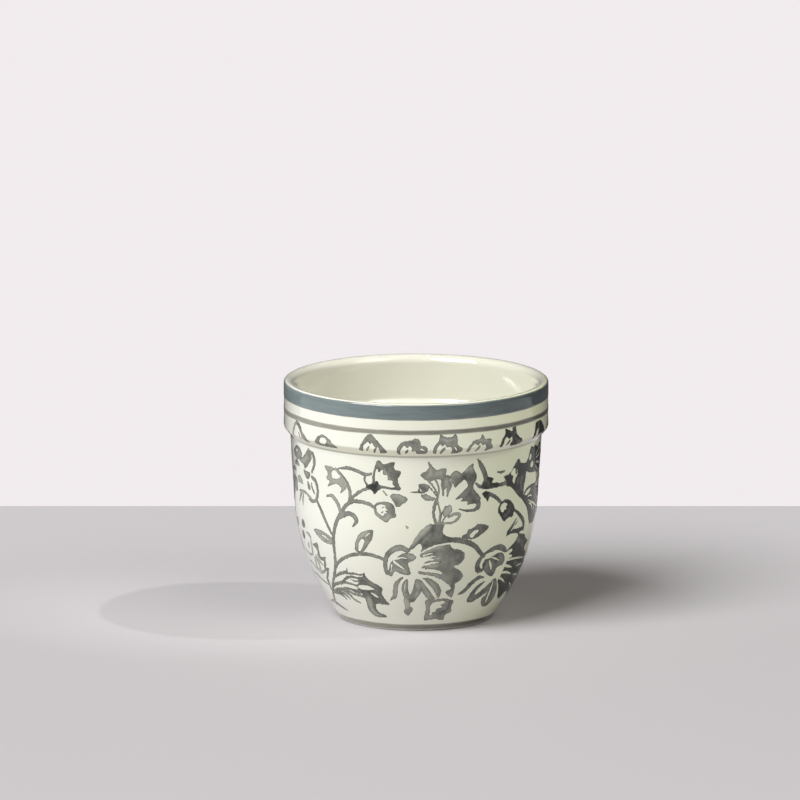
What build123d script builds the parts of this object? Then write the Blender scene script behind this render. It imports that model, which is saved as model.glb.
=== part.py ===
from build123d import *
import os
from math import cos, hypot, radians, sin, tan

# Driving sizes of the finished, glazed pot, in millimetres and degrees

# Outside, from the ground up
FOOT_RADIUS = 43.7
BELLY_HEIGHT = 37.0
BELLY_ARC = 120.0
WALL_HEIGHT = 106.0
WALL_TAPER = 3.5
COLLAR_RISE = 4.5
COLLAR_HEIGHT = 26.5
COLLAR_RADIUS = 75.0
COLLAR_STEP = 3.6
CREASE_ROUND = 2.0
COLLAR_EDGE_ROUND = 1.6

# Lip and inside
LIP_WIDTH = 6.8
LIP_OUTER_ROUND = 2.0
LIP_INNER_ROUND = 4.6
LEDGE_ROUND = 3.0
WALL = 6.0
FLOOR = 5.0
FLOOR_ROUND = 6.0

# Foot ring
FOOT_RING_WIDTH = 4.0
FOOT_RECESS = 3.0
FOOT_ROUND = 0.7

# Fired coats
GLAZE_THICKNESS = 0.4
GLAZE_LINE = 1.0
ENAMEL_THICKNESS = 0.15
COAT_CLEARANCE = 0.05

# Painted rings
FOOT_STRIP = 1.3
FOOT_LINE = 3.1
BAND = 9.2
LIP_BARE = 0.6
BAND_GAP = 5.5
COLLAR_LINE = 2.9

# Painted scroll
PANELS = 2
STEM_WIDTH = 2.0

# Painted buds on the collar
COLLAR_BUDS = 20
BUD_WIDTH = 10.5
BUD_SLOPE = 68.0
BUD_GAP = 0.5

# Reach of tools past what they cut
OVERRUN = 2.0

# Levels and radii worked out from the driving sizes
crease_radius = COLLAR_RADIUS - COLLAR_STEP
belly_radius = crease_radius - (WALL_HEIGHT - BELLY_HEIGHT) * tan(radians(WALL_TAPER))
collar_edge_height = WALL_HEIGHT + COLLAR_RISE
height = collar_edge_height + COLLAR_HEIGHT
band_height = height - BAND
collar_line_height = band_height - BAND_GAP - COLLAR_LINE
floor_height = FOOT_RECESS + FLOOR
ring_radius = FOOT_RADIUS - FOOT_RING_WIDTH
tool_radius = COLLAR_RADIUS + OVERRUN

# Motifs of the scroll. A petal's shoulders are shares of its length and width. A petal
# is its direction in degrees, and its length and greatest width as shares of the
# height that the motif follows. Behind its start a petal reaches back by a share of its
# length, so that petals overlap in their heart.
heart_share = 0.09
shoulder_shares = [
    (0.35, 0.50),
    (0.75, 0.40),
]
blossom_shares = [
    (30, 0.260, 0.130),
    (2, 0.280, 0.130),
    (-27, 0.270, 0.110),
    (-60, 0.200, 0.060),
    (-92, 0.190, 0.065),
    (-124, 0.205, 0.055),
    (160, 0.200, 0.100),
    (66, 0.265, 0.105),
]
lily_shares = [
    (118, 0.205, 0.085),
    (84, 0.150, 0.080),
    (50, 0.210, 0.085),
    (-20, 0.190, 0.060),
]
fringed_flower_shares = [
    (62, 0.150, 0.080),
    (32, 0.190, 0.085),
    (-2, 0.180, 0.080),
]
hanging_bud_shares = [
    (-14, 0.120, 0.075),
    (-44, 0.115, 0.060),
]
leaf_shares = [
    (0, 0.150, 0.060),
]
long_leaf_shares = [
    (-2, 0.340, 0.130),
    (22, 0.270, 0.060),
    (-60, 0.080, 0.030),
]

# Places in one panel: degrees right of its middle, share of the wall height,
# degrees that the motif is turned, and its size as a share of the full one
blossom_place_shares = [
    (1, 0.392, 0, 1.0),
    (46, 0.354, 0, 0.88),
]
lily_place_shares = [
    (13, 0.797, 0, 1.0),
    (-67, 0.790, 12, 0.95),
]
fringed_flower_place_shares = [
    (-20, 0.830, 12, 1.0),
    (51, 0.810, 0, 1.05),
]
hanging_bud_place_shares = [
    (-20, 0.726, 0, 1.0),
    (43, 0.717, -22, 1.0),
]
leaf_place_shares = [
    (-29, 0.462, 58, 1.1),
    (-45, 0.510, 178, 0.9),
    (22, 0.547, 27, 1.1),
]
long_leaf_place_shares = [
    (-54, 0.215, 0, 1.0),
]

# Stems, each an arc through three places in degrees and shares of the wall height
stem_shares = [
    [(-62, 0.110), (-50, 0.270), (-44, 0.480)],
    [(-44, 0.480), (-40, 0.640), (-33, 0.735)],
    [(-33, 0.735), (-27, 0.745), (-20, 0.726)],
    [(-44, 0.530), (-49, 0.640), (-60, 0.740)],
    [(-47, 0.345), (-37, 0.420), (-14, 0.428)],
    [(-33, 0.735), (-28, 0.790), (-20, 0.830)],
    [(10, 0.620), (8.5, 0.710), (12, 0.800)],
    [(14, 0.545), (24, 0.510), (36, 0.400)],
    [(26, 0.835), (38, 0.815), (52, 0.810)],
    [(51, 0.790), (60, 0.705), (68, 0.580)],
    [(34, 0.785), (39, 0.770), (44, 0.715)],
]


def shifted(corners, growths):
    """Corners of an open outline after each side has moved to its right by its own growth."""
    sides = []
    for (x1, y1), (x2, y2), growth in zip(corners, corners[1:], growths):
        length = hypot(x2 - x1, y2 - y1)
        along = ((x2 - x1) / length, (y2 - y1) / length)
        aside = (along[1] * growth, -along[0] * growth)
        sides.append(((x1 + aside[0], y1 + aside[1]), (x2 + aside[0], y2 + aside[1]), along))
    moved = [sides[0][0]]
    for (start, _, along), (other, _, turned) in zip(sides, sides[1:]):
        cross = along[0] * turned[1] - along[1] * turned[0]
        reach = ((other[0] - start[0]) * turned[1] - (other[1] - start[1]) * turned[0]) / cross
        moved.append((start[0] + along[0] * reach, start[1] + along[1] * reach))
    return [*moved, sides[-1][1]]


def rounded(corners, rounds):
    """Outline through the corners, each rounded as far as its two sides have room."""
    sides = [Vector(*end) - Vector(*start) for start, end in zip(corners, corners[1:])]
    turns = [tan(radians(one.get_angle(two)) / 2) for one, two in zip(sides, sides[1:])]
    wanted = [0, *[size * turn for size, turn in zip(rounds, turns)], 0]
    room = [side.length / max(side.length, one + two) for side, one, two in zip(sides, wanted, wanted[1:])]
    radii = [size * min(before, after) for size, before, after in zip(rounds, room, room[1:])]
    return FilletPolyline(*corners, radius=radii)


def skin_corners():
    """Corners of the glazed outline: foot, outside, lip, inside and floor."""
    wall = [(FOOT_RADIUS, 0), (belly_radius, BELLY_HEIGHT), (crease_radius, WALL_HEIGHT)]
    outside = [*wall, (COLLAR_RADIUS, collar_edge_height), (COLLAR_RADIUS, height)]
    foot, belly, ledge, shoulder, mouth = shifted(outside, [-WALL, -WALL, -WALL, -LIP_WIDTH])
    down_share = (floor_height - foot[1]) / (belly[1] - foot[1])
    floor_radius = foot[0] + (belly[0] - foot[0]) * down_share
    return [*outside, mouth, shoulder, ledge, belly, (floor_radius, floor_height), (0, floor_height)]


def skin_rounds(growth):
    """Rounds of the skin's corners; a growth widens those that bulge and narrows the hollow ones."""
    bulging = [BELLY_ARC, COLLAR_EDGE_ROUND, LIP_OUTER_ROUND, LIP_INNER_ROUND, LEDGE_ROUND]
    hollow = [CREASE_ROUND, LEDGE_ROUND, BELLY_ARC - WALL, FLOOR_ROUND]
    belly, edge, lip, mouth, ledge = [size + growth for size in bulging]
    crease, shoulder, inner_belly, floor = [size - growth for size in hollow]
    return [belly, crease, edge, lip, mouth, shoulder, ledge, inner_belly, floor]


def skin(growth, corner_count=None):
    """Glazed outline, or its first corners from the foot on, moved a growth out of the finished surface."""
    corners = skin_corners()[:corner_count]
    rounds = skin_rounds(growth)[: len(corners) - 2]
    return rounded(shifted(corners, [growth] * (len(corners) - 1)), rounds)


def outside_skin(growth):
    """Outside of the pot from the foot up to the far side of the lip."""
    return skin(growth, corner_count=6)


def clay_body():
    """Turned stoneware body: wall, collar, lip, floor and foot ring in one piece."""
    underside = [(0, FOOT_RECESS), (ring_radius, FOOT_RECESS), (ring_radius, 0)]
    skin_side = skin_corners()
    growths = [-GLAZE_THICKNESS, 0, 0, *[-GLAZE_THICKNESS] * (len(skin_side) - 1)]
    corners = shifted([*underside, *skin_side], growths)
    outline = rounded(corners, [0, FOOT_ROUND, FOOT_ROUND, *skin_rounds(-GLAZE_THICKNESS)])
    section = make_face([*outline.edges(), Line(outline @ 1, outline @ 0)])
    return revolve(Plane.XZ * section, Axis.Z)


def coat(near, far, inmost, low, high):
    """Fired coat between two outlines, outside an inmost radius and between two levels."""
    section = make_face([*near.edges(), Line(near @ 1, far @ 1), *far.edges(), Line(far @ 0, near @ 0)])
    window = Pos(inmost, low) * Rectangle(tool_radius, high - low, align=(Align.MIN, Align.MIN))
    return revolve(Plane.XZ * (section & window), Axis.Z)


def glaze_coat():
    """Ivory glaze over the outside, lip, inside and floor, wiped off below the glaze line."""
    return coat(skin(-GLAZE_THICKNESS), skin(0), 0, GLAZE_LINE, height + OVERRUN)


def underside_glaze():
    """Disc of glaze under the floor, inside the bare foot ring."""
    return Pos(0, 0, FOOT_RECESS) * extrude(Circle(ring_radius), amount=GLAZE_THICKNESS)


def enamel(inmost, low, high):
    """Ring of enamel on the outside between two levels, a clearance off the glaze."""
    return coat(outside_skin(COAT_CLEARANCE), outside_skin(ENAMEL_THICKNESS), inmost, low, high)


def foot_line():
    """Painted line just above the ground."""
    return enamel(0, FOOT_STRIP, FOOT_STRIP + FOOT_LINE)


def collar_line():
    """Painted line round the middle of the collar."""
    return enamel(0, collar_line_height, collar_line_height + COLLAR_LINE)


def rim_band():
    """Painted band from the collar up to just under the crest of the lip."""
    return enamel(0, band_height, height - LIP_BARE)


def facing(angle):
    """Upright plane through the axis that faces out at an angle to the right of the front."""
    turn = radians(angle)
    return Plane(origin=(0, 0, 0), x_dir=(cos(turn), sin(turn), 0), z_dir=(sin(turn), -cos(turn), 0))


def petal(direction, length, width):
    """Brush stroke of a petal or leaf from the heart to its tip, widest at its first shoulder."""
    upper = [(long * length, wide * width) for long, wide in shoulder_shares]
    lower = [(x, -y) for x, y in reversed(upper)]
    outline = Polyline((-heart_share * length, 0), *upper, (length, 0), *lower, close=True)
    return Rot(0, 0, direction) * make_face(outline.edges())


def spray(petal_shares, turn, scale):
    """Flat outline of petals that spring from one heart, turned together."""
    first, *others = [petal(angle + turn, long * scale, wide * scale) for angle, long, wide in petal_shares]
    return first + others if others else first


def punch(angle, level, outline):
    """Prism that pushes a flat outline out through the wall, at an angle and a level."""
    core = FOOT_RADIUS / 2
    return extrude(facing(angle) * (Pos(0, level, core) * outline), amount=tool_radius - core)


def motif_punches(petal_shares, place_shares):
    """Prisms of one kind of motif at its places in a panel."""
    return [
        punch(angle, level * WALL_HEIGHT, spray(petal_shares, turn, size * WALL_HEIGHT))
        for angle, level, turn, size in place_shares
    ]


def stem_punch(places):
    """Prism of a stem: an arc of even width through three places on the wall."""
    middle = places[1][0]
    points = [(radians(angle - middle) * crease_radius, level * WALL_HEIGHT) for angle, level in places]
    return punch(middle, 0, trace(ThreePointArc(*points), line_width=STEM_WIDTH))


def painted(layer, punches, earlier):
    """Strokes that prisms cut from a layer of enamel, clear of those painted earlier."""
    first, *others = [layer & prism for prism in punches]
    group = first + others
    for prism in earlier:
        group -= prism
    dab = STEM_WIDTH * STEM_WIDTH * ENAMEL_THICKNESS
    return [stroke for stroke in group.solids() if stroke.volume > dab]


def scroll():
    """Painted scroll of the body by kinds of motif, each kind repeated in every panel."""
    layer = enamel(0, FOOT_STRIP + FOOT_LINE, WALL_HEIGHT)
    kinds = {
        "blossoms": motif_punches(blossom_shares, blossom_place_shares),
        "lilies": motif_punches(lily_shares, lily_place_shares),
        "fringed_flowers": motif_punches(fringed_flower_shares, fringed_flower_place_shares),
        "hanging_buds": motif_punches(hanging_bud_shares, hanging_bud_place_shares),
        "leaves": motif_punches(leaf_shares, leaf_place_shares),
        "long_leaves": motif_punches(long_leaf_shares, long_leaf_place_shares),
        "stems": [stem_punch(places) for places in stem_shares],
    }
    earlier = []
    nodes = {}
    for name, punches in kinds.items():
        panel = painted(layer, punches, earlier)
        turns = [Rot(0, 0, 360 / PANELS * number) for number in range(PANELS)]
        nodes[name] = Compound([turn * stroke for turn in turns for stroke in panel])
        earlier += punches
    return nodes


def collar_buds():
    """Row of painted buds that stand on the edge of the collar, all round."""
    edge = collar_edge_height + COLLAR_EDGE_ROUND
    tip = collar_line_height - BUD_GAP
    outline = Trapezoid(BUD_WIDTH, tip - edge, BUD_SLOPE, align=(Align.CENTER, Align.MIN))
    bud = enamel(0, edge, tip) & punch(0, edge, outline)
    return Compound([Rot(0, 0, 360 / COLLAR_BUDS * number) * bud.solid() for number in range(COLLAR_BUDS)])


if __name__ == "__main__":
    os.makedirs("parts", exist_ok=True)
    makers = [clay_body, glaze_coat, underside_glaze, foot_line, collar_line, rim_band, collar_buds]
    nodes = {make.__name__: make() for make in makers}
    nodes.update(scroll())
    for name, node in nodes.items():
        export_step(node, f"parts/{name}.step")
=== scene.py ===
"""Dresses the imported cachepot: glazed stoneware with painted rings and a painted floral scroll."""
import logging
import math
import random
from dataclasses import dataclass, field, replace
from enum import Enum

import bpy
import numpy as np
from bpy.types import Material, Node, NodeInputs, NodeOutputs, NodeSocket, NodeTree, Object
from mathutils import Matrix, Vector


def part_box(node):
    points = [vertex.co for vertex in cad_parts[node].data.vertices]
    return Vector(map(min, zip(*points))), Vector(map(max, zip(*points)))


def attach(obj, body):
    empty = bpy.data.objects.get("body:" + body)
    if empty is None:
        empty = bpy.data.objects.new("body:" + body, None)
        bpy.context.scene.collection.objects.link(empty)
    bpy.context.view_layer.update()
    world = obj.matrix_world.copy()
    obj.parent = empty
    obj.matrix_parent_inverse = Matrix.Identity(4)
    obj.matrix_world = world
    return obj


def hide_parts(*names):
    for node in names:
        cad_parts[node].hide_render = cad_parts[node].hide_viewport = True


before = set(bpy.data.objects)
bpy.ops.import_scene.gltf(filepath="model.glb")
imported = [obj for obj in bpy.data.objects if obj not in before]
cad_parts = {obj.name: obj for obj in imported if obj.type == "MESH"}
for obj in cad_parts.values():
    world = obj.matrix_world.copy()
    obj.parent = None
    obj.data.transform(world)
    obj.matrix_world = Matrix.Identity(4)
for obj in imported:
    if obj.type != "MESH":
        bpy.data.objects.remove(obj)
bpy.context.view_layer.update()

log = logging.getLogger("cachepot")

MM = 0.001
# Radius in millimetres at which the painted surface is unrolled
UNROLLED_RADIUS = 70.0
MM_PER_DEGREE = math.radians(1.0) * UNROLLED_RADIUS
# Lengths in millimetres too short to tell apart, and the least square that is divided by
HAIR = 1e-6
LEAST_SQUARE = 1e-9

Place = tuple[float, float]
Span = tuple[float, float]
Knot = tuple[float, float, float]
Triple = tuple[float, float, float]
Colour = tuple[float, float, float, float]


class Touch(Enum):
    """What a brush stroke or patch does to the paint that is already there."""

    PAINT = "paint"
    BARE = "bare"
    TINT = "tint"


class Tone(Enum):
    """How dark a stroke is, from a thin wash to full enamel."""

    WASH = 0.15
    LIGHT = 0.35
    MID = 0.6
    DARK = 0.78
    FULL = 1.0


WASH, LIGHT, MID, DARK, FULL = Tone


# Shapes painted on the unrolled surface


@dataclass(frozen=True)
class Stroke:
    """A brush stroke through knots of angle in degrees, height in mm and width in mm."""

    knots: tuple[Knot, ...]
    tone: Tone = MID
    touch: Touch = Touch.PAINT
    steps: int = 6
    least_half_width: float = 0.05

    def centreline(self) -> np.ndarray:
        """Smooth line through the knots.

        Returns:
            Rows of flat x, height and half width in mm.
        """
        ends = np.array([(angle * MM_PER_DEGREE, height, width / 2) for angle, height, width in self.knots])
        padded = np.vstack([2 * ends[0] - ends[1], ends, 2 * ends[-1] - ends[-2]])
        share = np.linspace(0, 1, self.steps, endpoint=False)[:, None]
        rows = []
        for before, start, end, after in zip(padded, padded[1:], padded[2:], padded[3:]):
            bend = 2 * before - 5 * start + 4 * end - after
            twist = 3 * start - before - 3 * end + after
            rows.append(start + 0.5 * share * (end - before + share * (bend + share * twist)))
        line = np.vstack([*rows, ends[-1]])
        line[:, 2] = np.maximum(line[:, 2], self.least_half_width)
        return line

    def distance(self, x: np.ndarray, height: np.ndarray) -> np.ndarray:
        """Signed distance from the stroke's edge, negative inside.

        Args:
            x: Flat places along the unrolled surface in mm.
            height: Heights in mm, of the same shape.

        Returns:
            Distances in mm.
        """
        line = self.centreline()
        nearest = np.full(x.shape, np.inf)
        for (ax, ay, ar), (bx, by, br) in zip(line, line[1:]):
            dx, dy = bx - ax, by - ay
            square = max(dx * dx + dy * dy, LEAST_SQUARE)
            along = np.clip(((x - ax) * dx + (height - ay) * dy) / square, 0, 1)
            away = np.hypot(x - ax - along * dx, height - ay - along * dy) - ar - along * (br - ar)
            nearest = np.minimum(nearest, away)
        return nearest

    def reach(self) -> np.ndarray:
        """Lowest and highest corners of the stroke in flat mm."""
        line = self.centreline()
        return np.array([(line[:, :2] - line[:, 2:]).min(0), (line[:, :2] + line[:, 2:]).max(0)])


@dataclass(frozen=True)
class Patch:
    """A filled outline of places, angle in degrees and height in mm, with its corners softened."""

    places: tuple[Place, ...]
    tone: Tone = MID
    touch: Touch = Touch.PAINT
    softness: float = 0.2

    def corners(self) -> np.ndarray:
        """Closed outline with each corner cut off by the softness as a share of its sides.

        Returns:
            Rows of flat x and height in mm.
        """
        flat = np.array([(angle * MM_PER_DEGREE, height) for angle, height in self.places])
        onward = np.roll(flat, -1, axis=0)
        starts = flat + self.softness * (onward - flat)
        ends = onward - self.softness * (onward - flat)
        return np.stack([starts, ends], axis=1).reshape(-1, 2)

    def distance(self, x: np.ndarray, height: np.ndarray) -> np.ndarray:
        """Signed distance from the outline, negative inside.

        Args:
            x: Flat places along the unrolled surface in mm.
            height: Heights in mm, of the same shape.

        Returns:
            Distances in mm.
        """
        corners = self.corners()
        nearest = np.full(x.shape, np.inf)
        inside = np.zeros(x.shape, bool)
        for (ax, ay), (bx, by) in zip(corners, np.roll(corners, -1, axis=0)):
            dx, dy = bx - ax, by - ay
            square = max(dx * dx + dy * dy, LEAST_SQUARE)
            along = np.clip(((x - ax) * dx + (height - ay) * dy) / square, 0, 1)
            nearest = np.minimum(nearest, np.hypot(x - ax - along * dx, height - ay - along * dy))
            if ay != by:
                crosses = (ay > height) != (by > height)
                inside ^= crosses & (x < dx * (height - ay) / dy + ax)
        return np.where(inside, -nearest, nearest)

    def reach(self) -> np.ndarray:
        """Lowest and highest corners of the patch in flat mm."""
        corners = self.corners()
        return np.array([corners.min(0), corners.max(0)])


Shape = Stroke | Patch
Motif = list[Shape]


def stroke(*knots: Knot, tone: Tone = MID) -> Stroke:
    """A painted stroke through the knots."""
    return Stroke(knots, tone)


def vein(*knots: Knot) -> Stroke:
    """A thin stroke that leaves the glaze bare."""
    return Stroke(knots, touch=Touch.BARE)


def tint(*knots: Knot, tone: Tone = LIGHT) -> Stroke:
    """A stroke that only changes how dark the paint under it is."""
    return Stroke(knots, tone, Touch.TINT)


def patch(*places: Place, tone: Tone = MID) -> Patch:
    """A painted outline."""
    return Patch(places, tone)


def window(*places: Place) -> Patch:
    """An outline that leaves the glaze bare."""
    return Patch(places, touch=Touch.BARE)


def moved(shapes: Motif, degrees: float) -> Motif:
    """The same shapes further round the pot.

    Args:
        shapes: Shapes to repeat.
        degrees: Angle to the viewer's right.

    Returns:
        New shapes.
    """
    copies: Motif = []
    for shape in shapes:
        if isinstance(shape, Stroke):
            knots = tuple((angle + degrees, height, width) for angle, height, width in shape.knots)
            copies.append(replace(shape, knots=knots))
        else:
            places = tuple((angle + degrees, height) for angle, height in shape.places)
            copies.append(replace(shape, places=places))
    return copies


# Painted motifs, in degrees to the viewer's right, heights in mm and, for strokes, widths in mm

# The open blossom near the front: curled calyx, veined fan and hanging tongues
GREAT_BLOSSOM: Motif = [
    patch((-4.4, 51), (-2, 55.5), (0, 60), (2.5, 64), (5.8, 67.2), (9, 67), (13.5, 66.6), (12.2, 61.8),
          (15.5, 58.9), (22, 58.4), (24, 55.4), (17, 55.4), (10, 54.4), (4, 51.2), (1.8, 49.6), (3, 54),
          (1.5, 56), (-1, 53), tone=DARK),
    tint((-2, 55, 1.6), (0.8, 59.4, 2.8), (3.6, 63, 3.4), (6, 65.6, 2.2)),
    tint((2.4, 55.6, 1), (4.4, 58, 1.8), (6.4, 61, 1.4), tone=MID),
    patch((1.8, 49.8), (6, 51.8), (11, 54.2), (16, 55.2), (17.8, 51.8), (21.5, 51.2), (24.6, 48.6),
          (24.4, 45), (22.4, 42.2), (18.4, 41), (22.5, 38.8), (25.4, 35), (24, 31.6), (21, 30.4), (21.5, 28),
          (21, 21), (18.5, 22.6), (16, 25.4), (19.5, 27), (18, 29.4), (12, 33.6), (7, 36), (1, 37.4),
          (1, 39.4), (7, 40.6), (2, 40.6), (4, 42.6), (4, 44.6), (10, 46.4), (1.8, 47.4)),
    tint((3, 50.6, 2), (8, 52.6, 2.4), (12, 53.6, 1.6)),
    tint((4, 46.4, 2), (8, 46.4, 2.6), (11, 46.6, 1.6)),
    tint((3, 41.6, 1.6), (8, 42.2, 2.4), (11, 42, 1.2)),
    tint((2, 38.6, 1.4), (7, 37.6, 1.6), (11, 36, 1.2)),
    tint((17, 53.4, 2.6), (20.6, 48.6, 5.4), (21.4, 44.6, 4.6), tone=DARK),
    tint((19.6, 38.4, 3.4), (22, 35, 4.6), (20.4, 31.4, 3.4), (20, 26, 2.2), tone=DARK),
    vein((2.5, 50.4, 0.9), (9, 54, 1.1), (17, 55.3, 1), (19, 54.6, 0.4)),
    vein((3.4, 48.4, 0.9), (6.6, 49.4, 0.8), (9.4, 49.8, 0.3)),
    vein((4.2, 46.9, 1.5), (7, 47.6, 1.1), (9.8, 48, 0.4)),
    vein((3.6, 45.2, 0.7), (7, 45.6, 0.6), (9, 45.7, 0.3)),
    vein((4.5, 42.9, 1.5), (8, 43.9, 1.3), (12, 44.2, 0.4)),
    vein((1.5, 39.4, 1), (8, 39, 2.1), (12.4, 37.6, 1.6), (12.8, 36.4, 0.4)),
    vein((1.5, 36.3, 1), (7, 35.7, 1), (12.5, 32.6, 2.2), (17, 28.8, 2.6), (18.6, 27.6, 0.8)),
    patch((2.6, 34.8), (7, 34.6), (11, 31.6), (13.7, 27.4), (13.9, 24), (12.6, 21.2), (11, 22.4), (8, 27.6),
          (5, 32.2)),
    tint((6, 33, 1.4), (9.6, 29.6, 2), (11.6, 25.4, 1.6)),
    patch((1.4, 34), (3, 33), (5.6, 29), (9, 24), (11.4, 21), (9.4, 20.2), (6.2, 21.4), (3.6, 25.2),
          (2, 29.6)),
    tint((3, 31.4, 1), (5, 26.8, 1.6), (7.2, 23, 1.2)),
    vein((3.6, 33.8, 0.8), (7.6, 28.6, 1.3), (10.4, 24.4, 1.1), (12.2, 22, 0.6)),
    patch((-5, 34.4), (-7.2, 31.5), (-8.1, 27), (-7, 22.5), (-5.6, 19.4), (-2.5, 18.9), (0, 21), (2.5, 25),
          (3.6, 29.5), (0.8, 34.4), (-0.6, 33.8), (-1.2, 29), (-3.3, 23.3), (-4.5, 27), (-4, 33.4)),
    tint((-6, 31, 1.4), (-6.4, 27, 1.8), (-5.6, 23.4, 1.4)),
    tint((0.4, 31, 1.4), (1.2, 27, 1.6), (-0.6, 22.6, 1.4)),
    vein((-5.6, 32.6, 0.3), (-6.2, 28, 0.6), (-5.4, 24, 0.3)),
    tint((-6, 20.4, 2), (-3, 19.8, 2.4), (-0.6, 21, 1.6), tone=DARK),
    stroke((-7.2, 34.8, 1), (-10.2, 31.4, 2.6), (-11.5, 27, 3.2), (-12.2, 23, 2.9), (-15, 20.2, 0.7)),
    tint((-9.6, 31, 1), (-11, 27, 1.4), (-11.6, 23.6, 1)),
    stroke((-5.4, 20, 4.6), (-5.2, 16, 3.4), tone=WASH),
    patch((-6.4, 15.4), (-8.2, 12.9), (-5.3, 9.8), (-2.9, 12.6), (-1.8, 15.2), (-3.6, 16.6)),
    stroke((-4.2, 51.6, 2.8), (-8, 53.2, 3.6), (-12.2, 51, 3.2), (-14.8, 47, 2.8), (-15.6, 42, 2.6),
           (-15.2, 38, 2.8), (-13.2, 36.8, 2.6)),
    tint((-5.4, 52.4, 1.4), (-8, 53.2, 2), (-11.8, 51, 1.4)),
    patch((-12.4, 44.6), (-9.6, 47), (-6, 50.2), (-2, 49.8), (0.4, 47.4), (-1.4, 45.2), (-4.4, 44.3),
          (-3.6, 41), (-2.6, 37.4), (-4.4, 36.2), (-8, 37.3), (-11, 38.9), (-12.5, 36), (-14.8, 35.6),
          (-14, 40)),
    tint((-3.4, 47.6, 2.2), (-1.4, 47.4, 1.4)),
    tint((-5.4, 38.6, 1.8), (-8.8, 39.6, 1.6), (-13, 38.4, 1.4)),
    vein((-10.8, 46, 1), (-7, 47.1, 1), (-4.6, 46.7, 0.3)),
    vein((-11, 44.4, 1.5), (-8.6, 42.2, 1.4), (-6, 40, 0.5)),
    vein((-12.4, 42.6, 1.2), (-12.6, 39.6, 0.7), (-13.6, 37.8, 0.3)),
]

# The second blossom, right of the great one
SIDE_BLOSSOM: Motif = [
    patch((50, 45.4), (54, 48), (57.6, 50.6), (60, 54.4), (63.5, 53.4), (66.4, 52.8), (68.6, 49.8),
          (74, 47.2), (69.6, 44.8), (72, 41.6), (76.4, 40), (76, 36), (80.6, 34.8), (83.4, 31), (79, 28.6),
          (84.4, 26), (85.4, 20.6), (79.6, 21.6), (80.4, 16.4), (76.4, 13.4), (72, 16), (68.4, 18.6),
          (65, 16.6), (61.8, 14.2), (58.6, 16.4), (56, 18), (53.5, 22.6), (50.4, 27.6), (52, 31.6), (53, 36),
          (54, 40), tone=FULL),
    tint((59, 50.4, 1.6), (64, 48.6, 2.6), (67, 43.6, 2.2), tone=DARK),
    tint((62, 36.6, 1.4), (68, 34.6, 2), (74, 30.4, 1.2), tone=DARK),
    tint((66, 28, 1.6), (74, 26.6, 2.8), (80, 25, 2), tone=DARK),
    vein((66, 33.6, 0.5), (72, 33.4, 1.1), (78.4, 32.6, 0.5)),
    vein((66, 28.8, 0.5), (72, 27.4, 1.2), (80, 25, 0.5)),
    vein((66, 23.6, 0.5), (71, 21.2, 1.2), (76, 17, 0.5)),
    window((50, 44.6), (55, 46.8), (56.6, 45), (53.5, 43.2), (57.5, 42.2), (56.6, 40.6), (52, 40.6)),
    vein((53, 39.8, 1.3), (62, 39.3, 1.2), (74, 37.2, 1)),
    vein((52.4, 36.8, 1.8), (57, 35.4, 1.5), (61, 34, 0.4)),
    vein((50.6, 32.6, 1.3), (57, 31.8, 1.5), (63, 29.4, 0.4)),
    vein((48.6, 30.8, 1), (54, 28.2, 1.3), (59.4, 25, 0.5)),
    vein((46.8, 30.6, 0.9), (52, 24.8, 1.5), (56, 18.6, 1.8), (57.8, 15.6, 1)),
    stroke((24, 23, 0.7), (27.6, 24.9, 2.7), (31, 29.2, 3.1), (35, 32.3, 2.5), (38.6, 31.8, 0.9), tone=DARK),
    patch((41.4, 30), (36.4, 28.2), (32.6, 24), (30.9, 18.4), (32.4, 16.8), (36, 16.8), (41, 19.6),
          (45.6, 22), (45, 28), (42.8, 26.2), (38, 22.4), (35.2, 20.8), (36, 24.4), tone=DARK),
    patch((44.8, 28), (45.9, 23.5), (44.6, 20), (42.2, 18.4), (43.3, 15), (46.5, 12.2), (50.5, 11.8),
          (53.6, 14.4), (54.6, 18.5), (52.6, 23.5), (49.4, 28.6), (47.6, 30.4), tone=DARK),
    tint((51.4, 23, 1.2), (52, 18, 1.6), (50.6, 14.6, 1.2), tone=MID),
    tint((45.4, 22, 0.8), (44.6, 17.6, 1.2), tone=MID),
    vein((46.9, 28, 0.8), (47.2, 22, 1.6), (47.6, 16, 1.4), (48.2, 14.8, 0.5)),
    stroke((35.2, 46.2, 1.6), (33.2, 43, 3), (32.6, 39.6, 3.6), (33.8, 37, 3.4), (36.2, 36.6, 2), tone=DARK),
    stroke((35.4, 46.4, 1.4), (39, 48.2, 2.4), (43.4, 49.4, 3.2), (47, 48.6, 3.6), (49.6, 46.6, 2.8),
           tone=DARK),
    patch((36.8, 43.4), (38.4, 43.2), (41, 44.2), (45, 46.2), (49, 45), (51.4, 41), (50.6, 37.6),
          (46.2, 37.2), (45.8, 33.5), (44.5, 31.4), (41, 32.8), (37.4, 36.4), (35.4, 39.5), tone=DARK),
    tint((38.4, 41.4, 1.2), (38.6, 38.4, 1.8), (41.6, 34.6, 1.2), tone=MID),
    tint((46.4, 43.8, 1.4), (48.8, 41.4, 1.8), tone=MID),
    vein((40.4, 43.9, 0.7), (43.6, 42.7, 1), (46.6, 41, 0.5)),
    vein((39.8, 41.8, 0.9), (41.2, 39.2, 1.6), (42.6, 36, 0.7)),
]

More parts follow.
